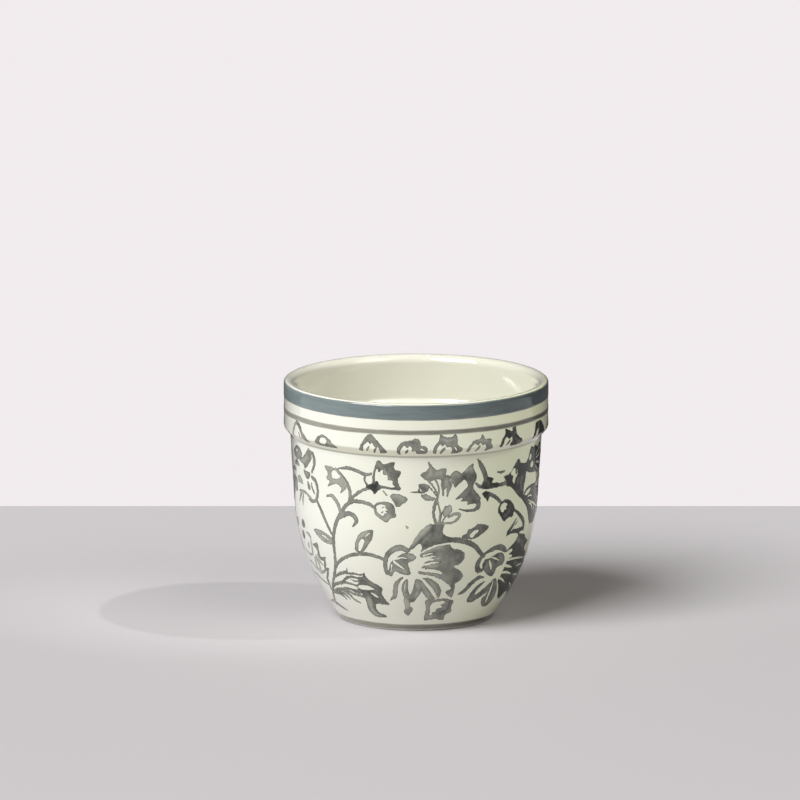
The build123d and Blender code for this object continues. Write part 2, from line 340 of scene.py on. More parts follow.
# The upright lily above the great blossom
LILY: Motif = [
    patch((5.3, 104.2), (5.9, 99), (1.7, 96.3), (3, 94), (6, 91.4), (9, 93.3), (12.4, 92.6), (13.6, 94.4),
          (14, 99.4), (12, 99.4), (9.5, 98.2), (7.4, 100.6)),
    tint((6, 101, 0.8), (6.6, 97, 1.6), (5, 94.6, 1.6)),
    tint((9, 96, 1.2), (12, 97, 1.6)),
    stroke((6, 91.6, 1.2), (8, 88.6, 1), (9.9, 84.4, 0.8), tone=LIGHT),
    stroke((8.6, 93, 1.2), (10.2, 89, 1), (10.4, 84.6, 0.9), tone=LIGHT),
    stroke((12.2, 94.4, 1.6), (12.1, 89.6, 1.5), (12.5, 83.6, 0.9)),
    stroke((14.4, 94, 2.6), (14.8, 88, 2.2), (14.5, 83, 0.7)),
    stroke((13.2, 93.6, 2.4), (13.4, 89, 2), (13.2, 87.4, 1)),
    tint((13.6, 93, 1.4), (13.9, 89, 1.2), (14, 86, 0.6)),
    stroke((16.6, 93, 1.8), (16.2, 89.6, 1.3), (15.4, 86, 0.7), tone=LIGHT),
    patch((15.4, 93.5), (16.2, 96.2), (18.2, 97.8), (20.2, 96.6), (21.6, 95.4), (21.8, 93.8), (20.3, 91),
          (18.4, 87.2), (17.6, 88.4), (17, 91.2)),
    tint((17, 95, 1.6), (18.6, 96, 1.6), (19.6, 94.4, 1.4)),
    stroke((18.2, 88.6, 1.4), (20.8, 91.8, 2), (23, 94, 3), (24.4, 94.6, 3), tone=DARK),
    patch((20.6, 94.6), (23.4, 98.4), (27, 101.6), (27.3, 97.3), (29, 94), (28.6, 91), (27.5, 88.8),
          (27.1, 86.8), (28.5, 84.5), (31.5, 80.6), (30.5, 77), (27, 77.6), (24, 76.9), (24.9, 79.4),
          (20.6, 79.2), (22.6, 81.7), (17.6, 80.4), (21.5, 84.6), (24.4, 87.6), (24.2, 90), (23, 91.6),
          tone=DARK),
    tint((23.2, 96.6, 1.4), (25.4, 98.8, 1.8), (26, 96.6, 1.2)),
    tint((20, 81.4, 0.9), (23, 83.6, 1.6), (25, 86, 1.4), tone=MID),
    tint((27.6, 83.4, 1.4), (29.4, 80.4, 1.8), tone=MID),
    stroke((20.5, 75, 0.7), (24, 73.8, 1.3), (28, 73.8, 1.9), (30.4, 75.8, 2.6), (29.6, 79, 3.2), tone=DARK),
]

# The pale lily that turns away at the left edge
LEFT_LILY: Motif = [
    patch((-58.8, 104.6), (-56.4, 102.4), (-56, 99), (-58.2, 96), (-60.6, 93), (-63.4, 91), (-64.4, 94),
          (-68, 94.4), (-70, 96.4), (-65.6, 97), (-62.8, 99.4), (-61.2, 101)),
    tint((-66.6, 95.6, 1), (-62.6, 96.6, 2), (-60.4, 99, 1.6)),
    stroke((-57.2, 102.6, 1.6), (-55.2, 101.6, 2.4), (-54.2, 98, 2.4), (-54.8, 94.4, 2), (-56.8, 90.6, 1.4)),
    patch((-64.6, 91.4), (-62.4, 90.2), (-58.6, 90.4), (-57.8, 88.6), (-60.4, 85.8), (-62.4, 86),
          (-64.4, 88.4)),
    patch((-78, 98.6), (-75, 101), (-72, 103.2), (-68.4, 103), (-65.4, 100.4), (-65.8, 97.6), (-69, 95.2),
          (-73, 95), (-76, 96.4)),
    window((-73.6, 99.8), (-71.6, 101.4), (-70.2, 100.4), (-71.6, 98.8)),
    stroke((-75, 92.2, 2.2), (-72.4, 93, 3.4), (-70, 92, 1.6)),
    stroke((-81, 87.6, 2), (-78, 88.4, 2.8), (-75.4, 87.8, 1)),
    patch((-81, 84), (-77, 84.6), (-73.6, 82.6), (-74.4, 79.4), (-74, 75.8), (-78, 75), (-82, 77)),
    patch((-73.4, 84.8), (-70, 86.4), (-66.6, 84), (-66, 81.4), (-69.6, 82), (-72.6, 81.6), tone=LIGHT),
    stroke((-56.8, 87.6, 2.2), (-54.4, 86.6, 2.6), (-53, 83.2, 2), (-52.6, 79.6, 1.7), (-53.8, 75.8, 2)),
    stroke((-60.8, 83.8, 1.6), (-60, 81.6, 3.2), (-59.4, 80.6, 1.6)),
    stroke((-57.4, 84.2, 1), (-57.4, 82, 1.4), (-56, 79.6, 1.4), (-55.2, 78.4, 0.6)),
    stroke((-60.6, 74.4, 1), (-58, 73.6, 2), (-55, 74.4, 1.6)),
]

# The dark lily that turns away at the right edge
RIGHT_LILY: Motif = [
    patch((61.6, 95.6), (63.2, 97), (64.4, 100.6), (66.2, 104.4), (68.4, 102.4), (71.6, 103.4), (75, 101.6),
          (79, 103.8), (82.6, 101.6), (80.8, 98.6), (85.6, 98.4), (88, 95), (84, 93.6), (87, 90), (84.6, 87),
          (80.8, 88), (78.6, 84.4), (75, 87), (68, 88), (63.6, 89.2), (61.6, 91.4), tone=FULL),
    window((64.4, 96.4), (65.2, 99.2), (66.8, 99.4), (67.2, 97), (65.8, 95.6)),
    window((66.4, 93.4), (68, 94.8), (69.8, 94), (70, 91.6), (68.4, 90.6), (66.6, 91.6)),
    vein((73, 97, 0.5), (76, 99, 1), (79, 101.6, 0.5)),
    vein((73.6, 95, 0.6), (78, 95.8, 1.1), (83, 96.2, 0.5)),
    vein((73.6, 92.6, 0.6), (78, 91.8, 1.1), (82.4, 90.4, 0.5)),
    vein((73.4, 90.4, 0.5), (76, 88.4, 0.9), (78, 86.8, 0.5)),
]

# A bud, leaves and stem that fill the side between two runs of the scroll
SIDE_SPRIG: Motif = [
    stroke((84.6, 66.6, 0.8), (88.4, 62.4, 1.1), (91.4, 56, 1.1), (91.6, 48, 1.1), (89.4, 40, 1),
           (86, 35, 0.6)),
    stroke((90.6, 58.6, 0.9), (93.6, 63, 1), (94.2, 67, 0.8)),
    patch((90.4, 70.4), (91.4, 75.4), (94.2, 78.4), (97.2, 75.6), (97.8, 70.4), (96.4, 66.8), (94.4, 68.4),
          (92.2, 66.6)),
    window((92, 71.4), (93, 75), (95.2, 75.4), (94.6, 73), (96, 71.6), (94.4, 70.4)),
    patch((91.8, 53.4), (94.6, 57.6), (99, 59.6), (101.8, 59), (100, 55.4), (96.4, 53)),
    window((94.2, 54.6), (96.4, 56.8), (98.8, 57.2), (97.4, 55.2)),
    patch((91, 46.4), (94.4, 46.6), (98, 43.6), (99.2, 39.6), (95.6, 40), (92.4, 42.6)),
    window((93.2, 44.8), (95.4, 44), (97, 41.8), (95.2, 42)),
    stroke((88, 95.4, 0.9), (91, 92.4, 1.1), (92.4, 88.4, 0.9)),
    patch((90.6, 92.6), (92.4, 97.4), (96, 101.6), (98, 97.6), (96.8, 92.8), (93.6, 90)),
    window((92.8, 93.6), (94.2, 97.4), (96, 98.2), (95.6, 94.6), (94, 92.4)),
    patch((91.6, 88.6), (94.4, 88.8), (97.4, 86.4), (96, 83), (93, 84), (91.4, 86.4), tone=LIGHT),
    stroke((85, 18.8, 0.9), (89, 20.6, 1.2), (93, 19.8, 1.2), (96.4, 17, 0.7)),
    patch((88.6, 20.4), (90, 25.4), (94, 28.6), (96.2, 25.6), (94.2, 21.6)),
    window((90.4, 22.2), (91.8, 25.2), (94, 26), (93, 23)),
    patch((90.6, 19.6), (93, 16), (97, 13.2), (93.6, 11.6), (90, 13.6), (88.8, 17)),
    window((91, 17.4), (93, 15), (94.4, 13.4), (92, 13.8), (90.6, 15.6)),
]

# The small bud left of the lily
LILY_BUD: Motif = [
    stroke((-2.8, 85.8, 0.6), (0.6, 85.7, 0.9), (3.6, 85.4, 1)),
    patch((0.8, 90.4), (3, 90.8), (6.2, 89.9), (5.6, 86.4), (3, 85), (0.4, 86.2), (1.4, 88.4)),
    tint((3, 88.6, 2.6), (4, 87.6, 2.2), tone=DARK),
    vein((1.6, 88.6, 0.3), (1.9, 87.2, 0.6), (2.4, 86.4, 0.3)),
    patch((1.8, 84.2), (4.5, 84.9), (6.6, 83.3), (9.2, 82), (8, 80.8), (5, 80.7), (3, 81.8)),
    tint((3.4, 83.4, 0.8), (5.4, 82.6, 1.2), (7.4, 81.6, 0.7)),
    stroke((5.6, 89.4, 0.9), (7.8, 86, 0.8), (9.9, 82.8, 1)),
]

# The fringed flower left of the middle, open to the right
TALL_FRINGED_FLOWER: Motif = [
    patch((-20.6, 88.4), (-20.4, 96), (-17.6, 104.6), (-15, 101.2), (-9.7, 103.8), (-10.3, 98.7),
          (-6.4, 97.6), (-8.9, 92.5), (-6.4, 86.6), (-12, 87), (-18, 87.8), tone=DARK),
    tint((-19.6, 91, 1.6), (-19.2, 97, 1.8), (-17.8, 102.6, 1.6), (-16.4, 100, 1.6), tone=MID),
    tint((-15, 98.6, 1.2), (-13.6, 95.4, 1.6), (-12.4, 92.8, 1.4), (-10.6, 91, 1.2)),
    window((-19.3, 90), (-19.2, 96), (-18.2, 99.4), (-17.3, 96.4), (-15.5, 98.8), (-15.1, 95), (-12.9, 95.8),
           (-13.4, 92.4), (-10.8, 92.2), (-11, 89.8), (-9, 88.3), (-13, 88.4), (-17, 89.4)),
    patch((-23.8, 88.6), (-20.5, 90), (-18, 92), (-17, 88.8), (-15.8, 87.5), (-18, 86), (-19.5, 83.2),
          (-21, 86), (-23.6, 87), tone=FULL),
    stroke((-23.8, 95, 1.3), (-24.4, 91.4, 1.1), (-22.8, 88.4, 1.3)),
    stroke((-15.6, 86.2, 0.6), (-13.8, 83.6, 0.8), tone=WASH),
]

# The dark fringed flower at the upper right
SIDE_FRINGED_FLOWER: Motif = [
    patch((44, 90.8), (49, 91.6), (51.5, 96), (55, 99.8), (56.6, 96), (60.5, 95.4), (66, 95.7), (62.2, 91),
          (61.8, 86), (60.6, 82), (60.6, 77), (57.5, 77.4), (53, 80.4), (49.5, 83.8), (46, 84.8),
          (46.6, 87.5), tone=FULL),
    tint((58.4, 88.4, 1.6), (57.6, 84, 2.2), (58.4, 80, 1.4), tone=DARK),
    tint((55, 87.6, 1), (54.6, 83.4, 1.4), tone=DARK),
    vein((54.2, 93.6, 0.3), (53.8, 91.6, 0.7), (54.8, 89.9, 0.3)),
    window((49, 91), (51.2, 94.6), (52.9, 93.4), (52.4, 91), (54.6, 89.8), (52.6, 87.6), (52.2, 84.8),
           (50.6, 87), (51.5, 89.8)),
]

# The fringed flower that hangs above the foot line
LOW_FRINGED_FLOWER: Motif = [
    patch((4.8, 20.6), (6, 15), (5.2, 10), (5, 6.9), (9, 7.5), (13, 8), (16.5, 6.8), (19, 7.1), (18.6, 10),
          (23, 12), (21.5, 15), (22.8, 19.2), (18, 21), (13, 21.3), (10.4, 20.2), (9.6, 21.4)),
    tint((6.6, 19, 1.2), (7, 14, 1.2), (6.6, 9.6, 1.6), (10, 9, 1.6)),
    tint((12, 11.4, 1.8), (17, 12, 2.4), (19.6, 14, 1.8), (19.8, 18.4, 1.6), tone=DARK),
    window((8.2, 10.6), (8.6, 13), (8, 16), (9.5, 18.6), (12, 19.4), (17.2, 19.5), (17.4, 18.2), (14.3, 17),
           (16.4, 15.3), (12.4, 14.6), (12.2, 12.6), (10, 12.4), (9.9, 10.2)),
]

# The round hanging bud left of the middle
ROUND_BUD: Motif = [
    patch((-20.4, 77), (-19.7, 72), (-17, 69.5), (-13.9, 67.2), (-12.2, 70.2), (-9, 70.9), (-10, 74.6),
          (-10.2, 78.4), (-14, 80), (-17.6, 79.4)),
    tint((-19.4, 74.6, 0.8), (-17.4, 70.9, 1.4), (-14.4, 69.4, 1.8), (-12.8, 71.6, 1.4)),
    tint((-10.8, 77.8, 2), (-11, 74, 2.2), (-10.6, 71.8, 1.2), tone=DARK),
    window((-19, 76.9), (-18.6, 73.4), (-16.4, 71.6), (-15, 71.6), (-15.2, 73.3), (-13.6, 72.9),
           (-14.2, 74.4), (-12.9, 75.4), (-14.6, 76), (-14, 77.6), (-17, 78.2)),
    stroke((-14, 77, 0.4), (-15.6, 76.4, 0.6), (-16.4, 75.2, 0.4), tone=LIGHT),
    stroke((-13.8, 74.2, 0.4), (-15.6, 73.8, 0.6), (-16.4, 73, 0.3), tone=LIGHT),
]

# The hanging bud at the right
RIGHT_BUD: Motif = [
    patch((43, 75.6), (46.2, 77.3), (50, 76), (53.2, 72), (53.2, 69.4), (52.2, 65.4), (49, 66.2), (46, 63.6),
          (44, 67), (41.4, 71), tone=FULL),
    tint((50, 73.6, 1), (49.6, 70.6, 1.6), (47.6, 67.8, 2), (45.4, 68, 1.2), tone=DARK),
    window((43, 72.6), (44, 74.9), (46.4, 75.2), (48.4, 73.8), (46.8, 72.7), (47.6, 71), (45.8, 71.2),
           (45.6, 69.4), (43.6, 70.6)),
]

# The bud that droops from its arched stem at the upper left
DROOPING_BUD: Motif = [
    patch((-47.5, 96.8), (-43, 96.8), (-39.5, 96), (-36, 92.5), (-33.5, 88.5), (-34.2, 85), (-37.9, 81.6),
          (-36.6, 85), (-38.5, 87), (-41, 87.2), (-45.8, 84), (-43.8, 88), (-46.4, 89.4), (-44.6, 92.4),
          tone=LIGHT),
    stroke((-43, 88, 1.6), (-39, 88.8, 2.4), (-35.6, 87, 2.6), (-36.4, 84.4, 1), tone=DARK),
    window((-42.4, 90.4), (-42.8, 93), (-41.5, 95.2), (-38.8, 94.6), (-37, 92), (-38.3, 90.4), (-40.5, 89.9)),
]

# Small leaves of the scroll
LEAVES: Motif = [
    patch((-12.5, 83.2), (-10.5, 84.9), (-7, 84.2), (-3.4, 81.8), (-6.5, 78.4), (-9.2, 76.5), (-10.4, 79.6)),
    tint((-10.6, 83.4, 1), (-8.4, 83.2, 1.4), (-6, 82, 1)),
    tint((-9.4, 80.4, 1.4), (-8.4, 78.4, 1.2), tone=DARK),
    patch((-31.4, 48.8), (-30.6, 55), (-28, 60), (-25, 62), (-20.4, 63.2), (-21.2, 58), (-24, 53),
          (-27, 48.4)),
    tint((-30, 51, 0.8), (-29, 56, 1.4), (-26.4, 59.4, 2), (-23.6, 61.4, 1.6)),
    window((-29.4, 49.6), (-28.9, 54), (-27, 57.2), (-25.4, 56.6), (-26.3, 53), (-28.1, 49.4)),
    vein((-25.2, 58, 0.3), (-23.8, 59.6, 0.6), (-22.4, 61, 0.3)),
    patch((-59, 57.2), (-55, 58.2), (-50, 57.4), (-46, 55.6), (-44.4, 55), (-44.8, 51), (-48, 50.4),
          (-52, 51.4), (-56, 54), tone=LIGHT),
    vein((-53, 55.2, 0.5), (-50, 54.6, 1.1), (-47.4, 53, 0.4)),
    patch((22, 59.2), (24.8, 60.6), (25.2, 62.6), (28, 63.4), (31, 65.7), (37.6, 63), (34, 59.7),
          (30.5, 57.4), (28, 56.6), (25, 57), (22, 57.2), tone=DARK),
    window((26, 57.6), (26.8, 60), (28.4, 61.6), (30.4, 62.3), (31.2, 61), (29.4, 59.4), (28, 57.7)),
    stroke((53.6, 69.4, 1.6), (57, 66.7, 2.2), (60.4, 63.4, 2.8), (62.9, 59.8, 2.8), (63.6, 55.8, 1.2),
           tone=FULL),
    stroke((55.8, 64.4, 0.7), (53, 60.6, 2), (50.4, 57.4, 2.6), (49, 55.2, 0.8), tone=FULL),
    stroke((49.6, 55.8, 0.8), (54, 56.9, 2.4), (58.4, 56.4, 3), (62.6, 57, 2.4), tone=FULL),
    stroke((57.4, 63.2, 0.4), (56, 61.4, 0.9), (54.6, 60.2, 0.6), tone=DARK),
    stroke((58.4, 57, 1.4), (59.6, 54, 1.8), tone=FULL),
    stroke((29.2, 103, 0.8), (31.3, 98.6, 3), (33.3, 93.4, 3), (34.2, 88, 3), tone=DARK),
    patch((31.4, 87.4), (33.6, 92.6), (38.6, 91), (37, 88.2), (42, 87.8), (42, 85.2), (34, 84.8),
          (30.6, 86.2), tone=FULL),
    patch((60.2, 77.4), (64, 80.4), (69, 81), (74.4, 80.6), (77.6, 77.6), (81.6, 78), (82.6, 73),
          (86.6, 71.4), (85.4, 66), (88, 61.6), (81.8, 61.4), (77.4, 57.4), (73, 57), (70, 60.4), (66, 68),
          (61.5, 73), tone=FULL),
    window((61.2, 76.4), (63.8, 78.6), (68.8, 79.6), (67.8, 77.2), (64.4, 75.6)),
    vein((65.4, 74.6, 0.6), (68.4, 74.8, 1.1), (71.6, 73.2, 0.5)),
    vein((67.4, 70.6, 0.6), (70.4, 68.8, 1.3), (73.4, 65, 0.6)),
    vein((66, 72.6, 0.5), (75, 68.4, 1.4), (84.6, 63.4, 0.5)),
    vein((74.6, 69.6, 0.4), (77, 72.4, 1), (78.6, 75.4, 0.4)),
    vein((79, 67.2, 0.4), (81.6, 69, 0.9), (83.6, 69.8, 0.4)),
    vein((74, 68, 0.4), (76.4, 64, 1), (76.6, 60, 0.4)),
    patch((12.2, 72.6), (13.4, 76.4), (15.4, 78.2), (17, 76.8), (16.8, 73.6), (15.4, 71.8), (13.4, 70.2),
          tone=LIGHT),
    stroke((11.2, 68.8, 1), (12, 73, 1), (13.9, 77, 1.1)),
    stroke((12.6, 69.2, 0.8), (14.4, 72, 0.9), (16.4, 74, 0.8)),
    stroke((13, 67.4, 1.2), (17, 67.4, 1.3), (20, 69.8, 1.5), (20.6, 72, 1.7), (17.8, 72.3, 1.8),
           (15.4, 70.8, 1.1), tone=LIGHT),
    patch((-75.4, 49), (-73.8, 53.4), (-71, 53.4), (-70.4, 50), (-72.8, 47.8), tone=DARK),
    patch((-73, 56.6), (-71.6, 60), (-68.8, 60.6), (-67.4, 57.4), (-69.8, 55), tone=DARK),
    stroke((-67.6, 53.4, 1), (-65, 52.6, 2.2), (-62.8, 51.4, 0.8), tone=WASH),
]

# The long serrated leaf low on the left, with its curling tail
SERRATED_LEAF: Motif = [
    patch((-32.6, 33.4), (-29.6, 33.2), (-28, 37), (-26.9, 32.6), (-22, 29.8), (-18, 27.4), (-20, 24.4),
          (-18.4, 20.5), (-15.4, 16.9), (-20, 16.9), (-24.6, 17.4), (-25.6, 14), (-24.4, 11.2), (-19.6, 9.8),
          (-19.8, 8.3), (-27, 8.1), (-30, 9.8), (-31.6, 13), (-31, 18), (-31.4, 21), (-33.6, 25), (-34.8, 27),
          (-32.4, 29.8), tone=DARK),
    tint((-28.4, 19.6, 3.6), (-28.8, 15, 3.6), (-27.6, 11, 2.8), (-22.6, 9, 0.8)),
    tint((-29, 33, 1.6), (-25, 30.2, 1.8), (-21, 27.4, 1.2), tone=MID),
    window((-34.6, 26.6), (-31.4, 28.4), (-27, 28.4), (-22.8, 26.2), (-27, 25.6), (-31, 25.2)),
    window((-27, 24.2), (-24.6, 23.9), (-21.4, 21), (-23.8, 21.2)),
    stroke((-50, 30, 1.2), (-45, 33, 1.7), (-41, 34.6, 2), (-38.8, 35.4, 1.4), (-38.2, 37.8, 0.5)),
    stroke((-41, 34.4, 1.2), (-37, 34.6, 1.3), (-33.6, 34.9, 1.3), (-30.6, 34.6, 1), (-28.4, 35.4, 1)),
    stroke((-46, 26.6, 1.2), (-42.4, 29.6, 1.6), (-38, 32.4, 1.5), (-34, 32.6, 1.4), (-31, 31.8, 1.2)),
    stroke((-37.4, 31, 0.6), (-35, 30.2, 1), (-32.4, 30.4, 1), tone=LIGHT),
    stroke((-58, 19.8, 1.6), (-53, 24.6, 1.8), (-47.4, 27, 1.8), (-43, 28.2, 1.6), (-38, 28, 1.4),
           (-34.4, 27.4, 1.2)),
    stroke((-56, 20.2, 1.2), (-50.6, 22.4, 2.1), (-46.4, 23.4, 1.9), (-42, 24.6, 1.6), (-38, 24.4, 1.2),
           (-33.4, 24.2, 1.6)),
    stroke((-56.6, 19.6, 1.2), (-51.6, 20, 1.9), (-48, 18.9, 1.7), (-46, 16.6, 0.6)),
    stroke((-50.4, 21.2, 1), (-46.6, 20.6, 1.9), (-43.6, 18.8, 1.2), (-43, 17.4, 0.5)),
    stroke((-47.4, 23, 1.2), (-43.4, 21.6, 1.9), (-40.6, 20, 1.2)),
    stroke((-44.4, 24.2, 1.2), (-40.6, 22.4, 1.7), (-36.6, 21.4, 1.5), (-32, 21, 1.8)),
    stroke((-41.4, 19.4, 0.8), (-39, 17.6, 1.6), (-35.2, 16.2, 0.6), tone=LIGHT),
    stroke((-39, 24, 1), (-35.6, 23, 1.4), (-32.6, 23.4, 1.2)),
    stroke((-60.6, 12, 2), (-56.6, 10.6, 1.8), (-51, 8.9, 0.5)),
    stroke((-61.4, 13, 2.2), (-65, 12.8, 2), (-70.4, 11.6, 0.8), tone=LIGHT),
    patch((-63.4, 47.6), (-60, 48.4), (-57, 49.8), (-57, 44.4), (-59, 44), (-60, 46)),
    stroke((-58, 45, 1.8), (-58.2, 42.4, 2.2), (-57.4, 40, 2.2), (-54.8, 40.4, 2), (-52.8, 41.6, 0.8)),
    stroke((-53.8, 40.6, 1.4), (-54.6, 37.6, 2), (-56, 35, 1.8), (-54.4, 34, 2), (-52.4, 34.8, 0.8)),
    stroke((-53.6, 34, 1.4), (-55.4, 30.8, 1.8), (-57.6, 28, 1.4), (-58.4, 25.6, 1.2)),
    stroke((-59.8, 41.6, 1), (-59.6, 38.6, 1.2), (-57.4, 36.2, 1), tone=LIGHT),
    stroke((-61.6, 30.6, 1.4), (-58.4, 32, 1.6), (-55.6, 33.4, 1.3), tone=LIGHT),
    patch((-65, 39.6), (-61.6, 40), (-60.4, 36), (-61, 30.4), (-64, 29.6), (-66.6, 33), tone=WASH),
    window((-63.8, 37.6), (-62.4, 37.4), (-62, 33.6), (-63.6, 32.4), (-64.6, 34.6)),
    stroke((-56.8, 27.4, 0.8), (-57.6, 24.6, 1.8), (-58.2, 21.6, 1.8), (-56.6, 20.4, 1.2), tone=LIGHT),
    stroke((-60.6, 30.4, 1), (-66, 31.8, 1.3), (-71, 35, 1), (-75, 34.4, 0.6), tone=WASH),
    stroke((-59, 24, 1), (-65, 25.6, 1.5), (-71, 28, 1.2), (-75, 27.6, 0.7), tone=WASH),
    stroke((-63.4, 50.6, 0.8), (-64.4, 45, 1.8), (-66, 40.8, 1.4), (-71, 40, 1.2), (-75, 41.6, 0.8),
           tone=WASH),
    stroke((-67, 47.4, 1), (-68.4, 45, 2.2), tone=WASH),
    stroke((-62, 41, 1), (-61, 36, 1.6), (-61.6, 32, 1), tone=WASH),
]

# Stems, hooks and thorns that join the motifs
STEMS: Motif = [
    stroke((-63, 11, 1.5), (-59.5, 17, 2.1), (-55, 23.6, 1.6), (-49.6, 31, 2), (-46, 38, 2.4),
           (-44.6, 45, 2.2), (-44, 52, 2.4), (-43, 58, 2.2), (-41, 64.4, 2.4), (-38, 70, 2.7), (-35, 75, 2.2),
           (-31.6, 78, 2.4), (-27, 78.7, 2.2), (-22, 77.6, 2.1), (-19.6, 75.6, 1.7)),
    stroke((-44.4, 57, 1.5), (-47, 62, 2.1), (-50.2, 68.6, 2.2), (-54, 75.4, 2)),
    stroke((-47.4, 35.6, 1.7), (-42.6, 41, 2), (-36, 45.3, 2), (-30, 47.4, 2.1), (-24, 48, 2.3),
           (-19, 46.8, 2), (-15.8, 45.4, 1.7)),
    stroke((-33, 77, 2), (-32, 82, 2.1), (-33.2, 87.4, 2.1), (-36, 92, 2.1), (-39.8, 95.8, 1.8)),
    stroke((-38, 96.4, 0.9), (-33, 97.5, 2.1), (-28, 96.5, 2), (-24.4, 94.9, 2.1), (-21, 95.4, 1.5)),
    stroke((-32, 79, 1.7), (-28.6, 83, 1.8), (-25.4, 85.6, 1.7), (-22, 87.2, 2)),
    stroke((-46.4, 79, 0.8), (-43, 79.8, 2.2), (-40, 76.8, 2.3), (-38.4, 72.6, 2.2), (-38, 70, 1.7),
           tone=LIGHT),
    stroke((-40, 66.6, 1.8), (-36.6, 69.6, 3), (-33, 71, 2.7), (-30.2, 69.6, 2.9), (-29.3, 66.6, 2.4),
           (-31.6, 63.4, 0.7)),
    stroke((-71, 77, 1.5), (-65, 77.6, 1.6), (-60.6, 76, 1.7), (-57, 74, 2), (-54, 75.4, 1.7), tone=LIGHT),
    stroke((-54.2, 75.4, 1.8), (-52.8, 80, 2.1), (-53.4, 85, 2.1), (-56.4, 87.8, 0.8), tone=LIGHT),
    stroke((-67, 78, 1), (-70, 74.6, 2.4), (-72.4, 70.4, 0.6), tone=LIGHT),
    stroke((-66, 76.6, 0.8), (-67.4, 73, 2), (-67.8, 69, 0.6), tone=LIGHT),
    stroke((9.8, 66, 2), (8.3, 71, 1.6), (8.2, 76, 1.8), (9.3, 81, 1.7), (10.2, 85, 1)),
    stroke((10.4, 67, 1.5), (11.3, 72, 1), (10.6, 77, 0.9), (9.6, 81, 1), tone=LIGHT),
    stroke((10, 66, 3.4), (12.6, 67.2, 2.6)),
    stroke((13.6, 57.4, 2.7), (20, 56.8, 3), (26, 54.7, 3.2), (29.8, 52, 3), (33, 48, 2.7), (35.6, 45.4, 2.2),
           tone=DARK),
    stroke((28.4, 89.2, 1), (31, 86.8, 2.1), (36, 86, 2.4), (42, 86.2, 2.2), (47, 86.8, 2.6), tone=DARK),
    stroke((40.2, 94, 0.5), (42.4, 93.5, 1.6), (44.8, 93.8, 0.9), tone=DARK),
    patch((31.8, 83), (34.5, 84.2), (37.4, 82.2), (36.3, 80.3), (35.3, 77.3), (34.2, 79.5), (32.6, 81.2),
          tone=FULL),
    stroke((36, 82, 2.3), (40, 79.5, 2.2), (43.4, 75.6, 2), tone=DARK),
    stroke((50, 85, 2.7), (56, 79, 2.9), (61, 74.6, 2.9), (66, 68.6, 2.7), (69.6, 60.6, 2.4), (71, 57.6, 1),
           tone=FULL),
    stroke((52.4, 71, 1.7), (54.6, 68.6, 1.7), tone=DARK),
    stroke((-4.8, 66, 0.9), (-4.2, 65.2, 1.3), tone=WASH),
    stroke((75, 80, 1.7), (83, 83, 2.2), (92, 80, 2.2), (99, 74, 1.7), tone=LIGHT),
]

# Small buds of the collar, each painted a little differently
TEARDROP_BUD: Motif = [
    stroke((-68.6, 109.2, 1.6), (-67.6, 113, 1.6), (-66, 116.6, 1.8), (-63.6, 118.6, 1.6), tone=LIGHT),
    stroke((-64.4, 118.4, 2), (-61.6, 116.8, 2.8), (-60, 113.6, 2.2), (-57.6, 110.8, 3.4),
           (-55.4, 109.2, 1.6)),
    stroke((-62.4, 113, 0.5), (-61.4, 111.4, 1), (-61, 109.6, 0.6), tone=LIGHT),
]
TOOTHED_BUD: Motif = [
    patch((-25.8, 108.4), (-24.4, 114), (-20.4, 120.2), (-16.8, 115.4), (-12.2, 109), (-14.6, 108.2)),
    window((-24, 107.6), (-23.4, 112.6), (-21, 115), (-20.2, 113), (-19.4, 114.4), (-18, 111.6), (-16.4, 112),
           (-15.8, 107.6)),
    stroke((-22, 109.4, 0.5), (-21.2, 111, 1), (-20.6, 112.2, 0.4), tone=LIGHT),
    stroke((-18.6, 108.6, 0.8), (-18, 110.4, 1.2), (-17, 112, 0.4)),
    tint((-17.4, 114.6, 1), (-14.6, 111, 1.6), (-13.4, 109.4, 1), tone=DARK),
]
LOW_DROP_BUD: Motif = [
    patch((-50.4, 109.2), (-48.6, 113), (-45, 115.8), (-41.6, 114.2), (-36.2, 108.6), (-40, 108.6),
          (-46, 108.6)),
    tint((-45.6, 114.8, 0.9), (-42, 112.8, 1.2), (-38.6, 109.8, 1)),
    window((-46.8, 111), (-46, 113.6), (-43.2, 113.8), (-42, 111.6), (-43.4, 110), (-45.6, 109.8)),
]
LOBED_BUD: Motif = [
    patch((-8.6, 108), (-8.2, 112.6), (-5.8, 115.8), (-3, 116.2), (0.4, 117.8), (2, 115.4), (2, 113.4),
          (4.8, 112.8), (5, 108.8), (2, 108.2), (-1, 109), (-4, 108)),
    window((-7.2, 107.6), (-6.8, 111.4), (-5, 113.6), (-3.8, 112), (-2.8, 113.4), (-1.6, 111.4),
           (-2.4, 110.2), (0, 110.4), (-0.4, 107.6)),
    tint((-5.4, 114.6, 0.8), (-1, 115.4, 1.2), (0.8, 114.6, 1), tone=DARK),
    stroke((-4.8, 108.4, 0.6), (-4.2, 110, 1.2), (-3.4, 111, 0.4)),
    vein((1.6, 111.6, 0.4), (2.8, 111, 0.9), (3.8, 110.2, 0.4)),
]
TWO_EARED_BUD: Motif = [
    patch((6.8, 108), (7.6, 112.8), (10, 116.2), (10.2, 120), (12.4, 118), (15.4, 117.6), (17.4, 120.2),
          (18.2, 115.6), (17.8, 113.2), (20.6, 111), (19.8, 108)),
    window((8.6, 107.6), (9, 112), (10.6, 114.4), (11.4, 112.6), (12.6, 114), (13.4, 111.8), (14.8, 112.6),
           (15.8, 110.8), (15.6, 107.6)),
    stroke((10.8, 108.6, 0.8), (11.6, 110.6, 1.6), (12.6, 112.2, 0.5)),
    tint((11, 117, 0.8), (13.6, 116, 1.2), (16.8, 116.6, 1.4)),
    vein((16.8, 111.8, 0.4), (17.6, 110.4, 0.8), (18, 109, 0.5)),
]
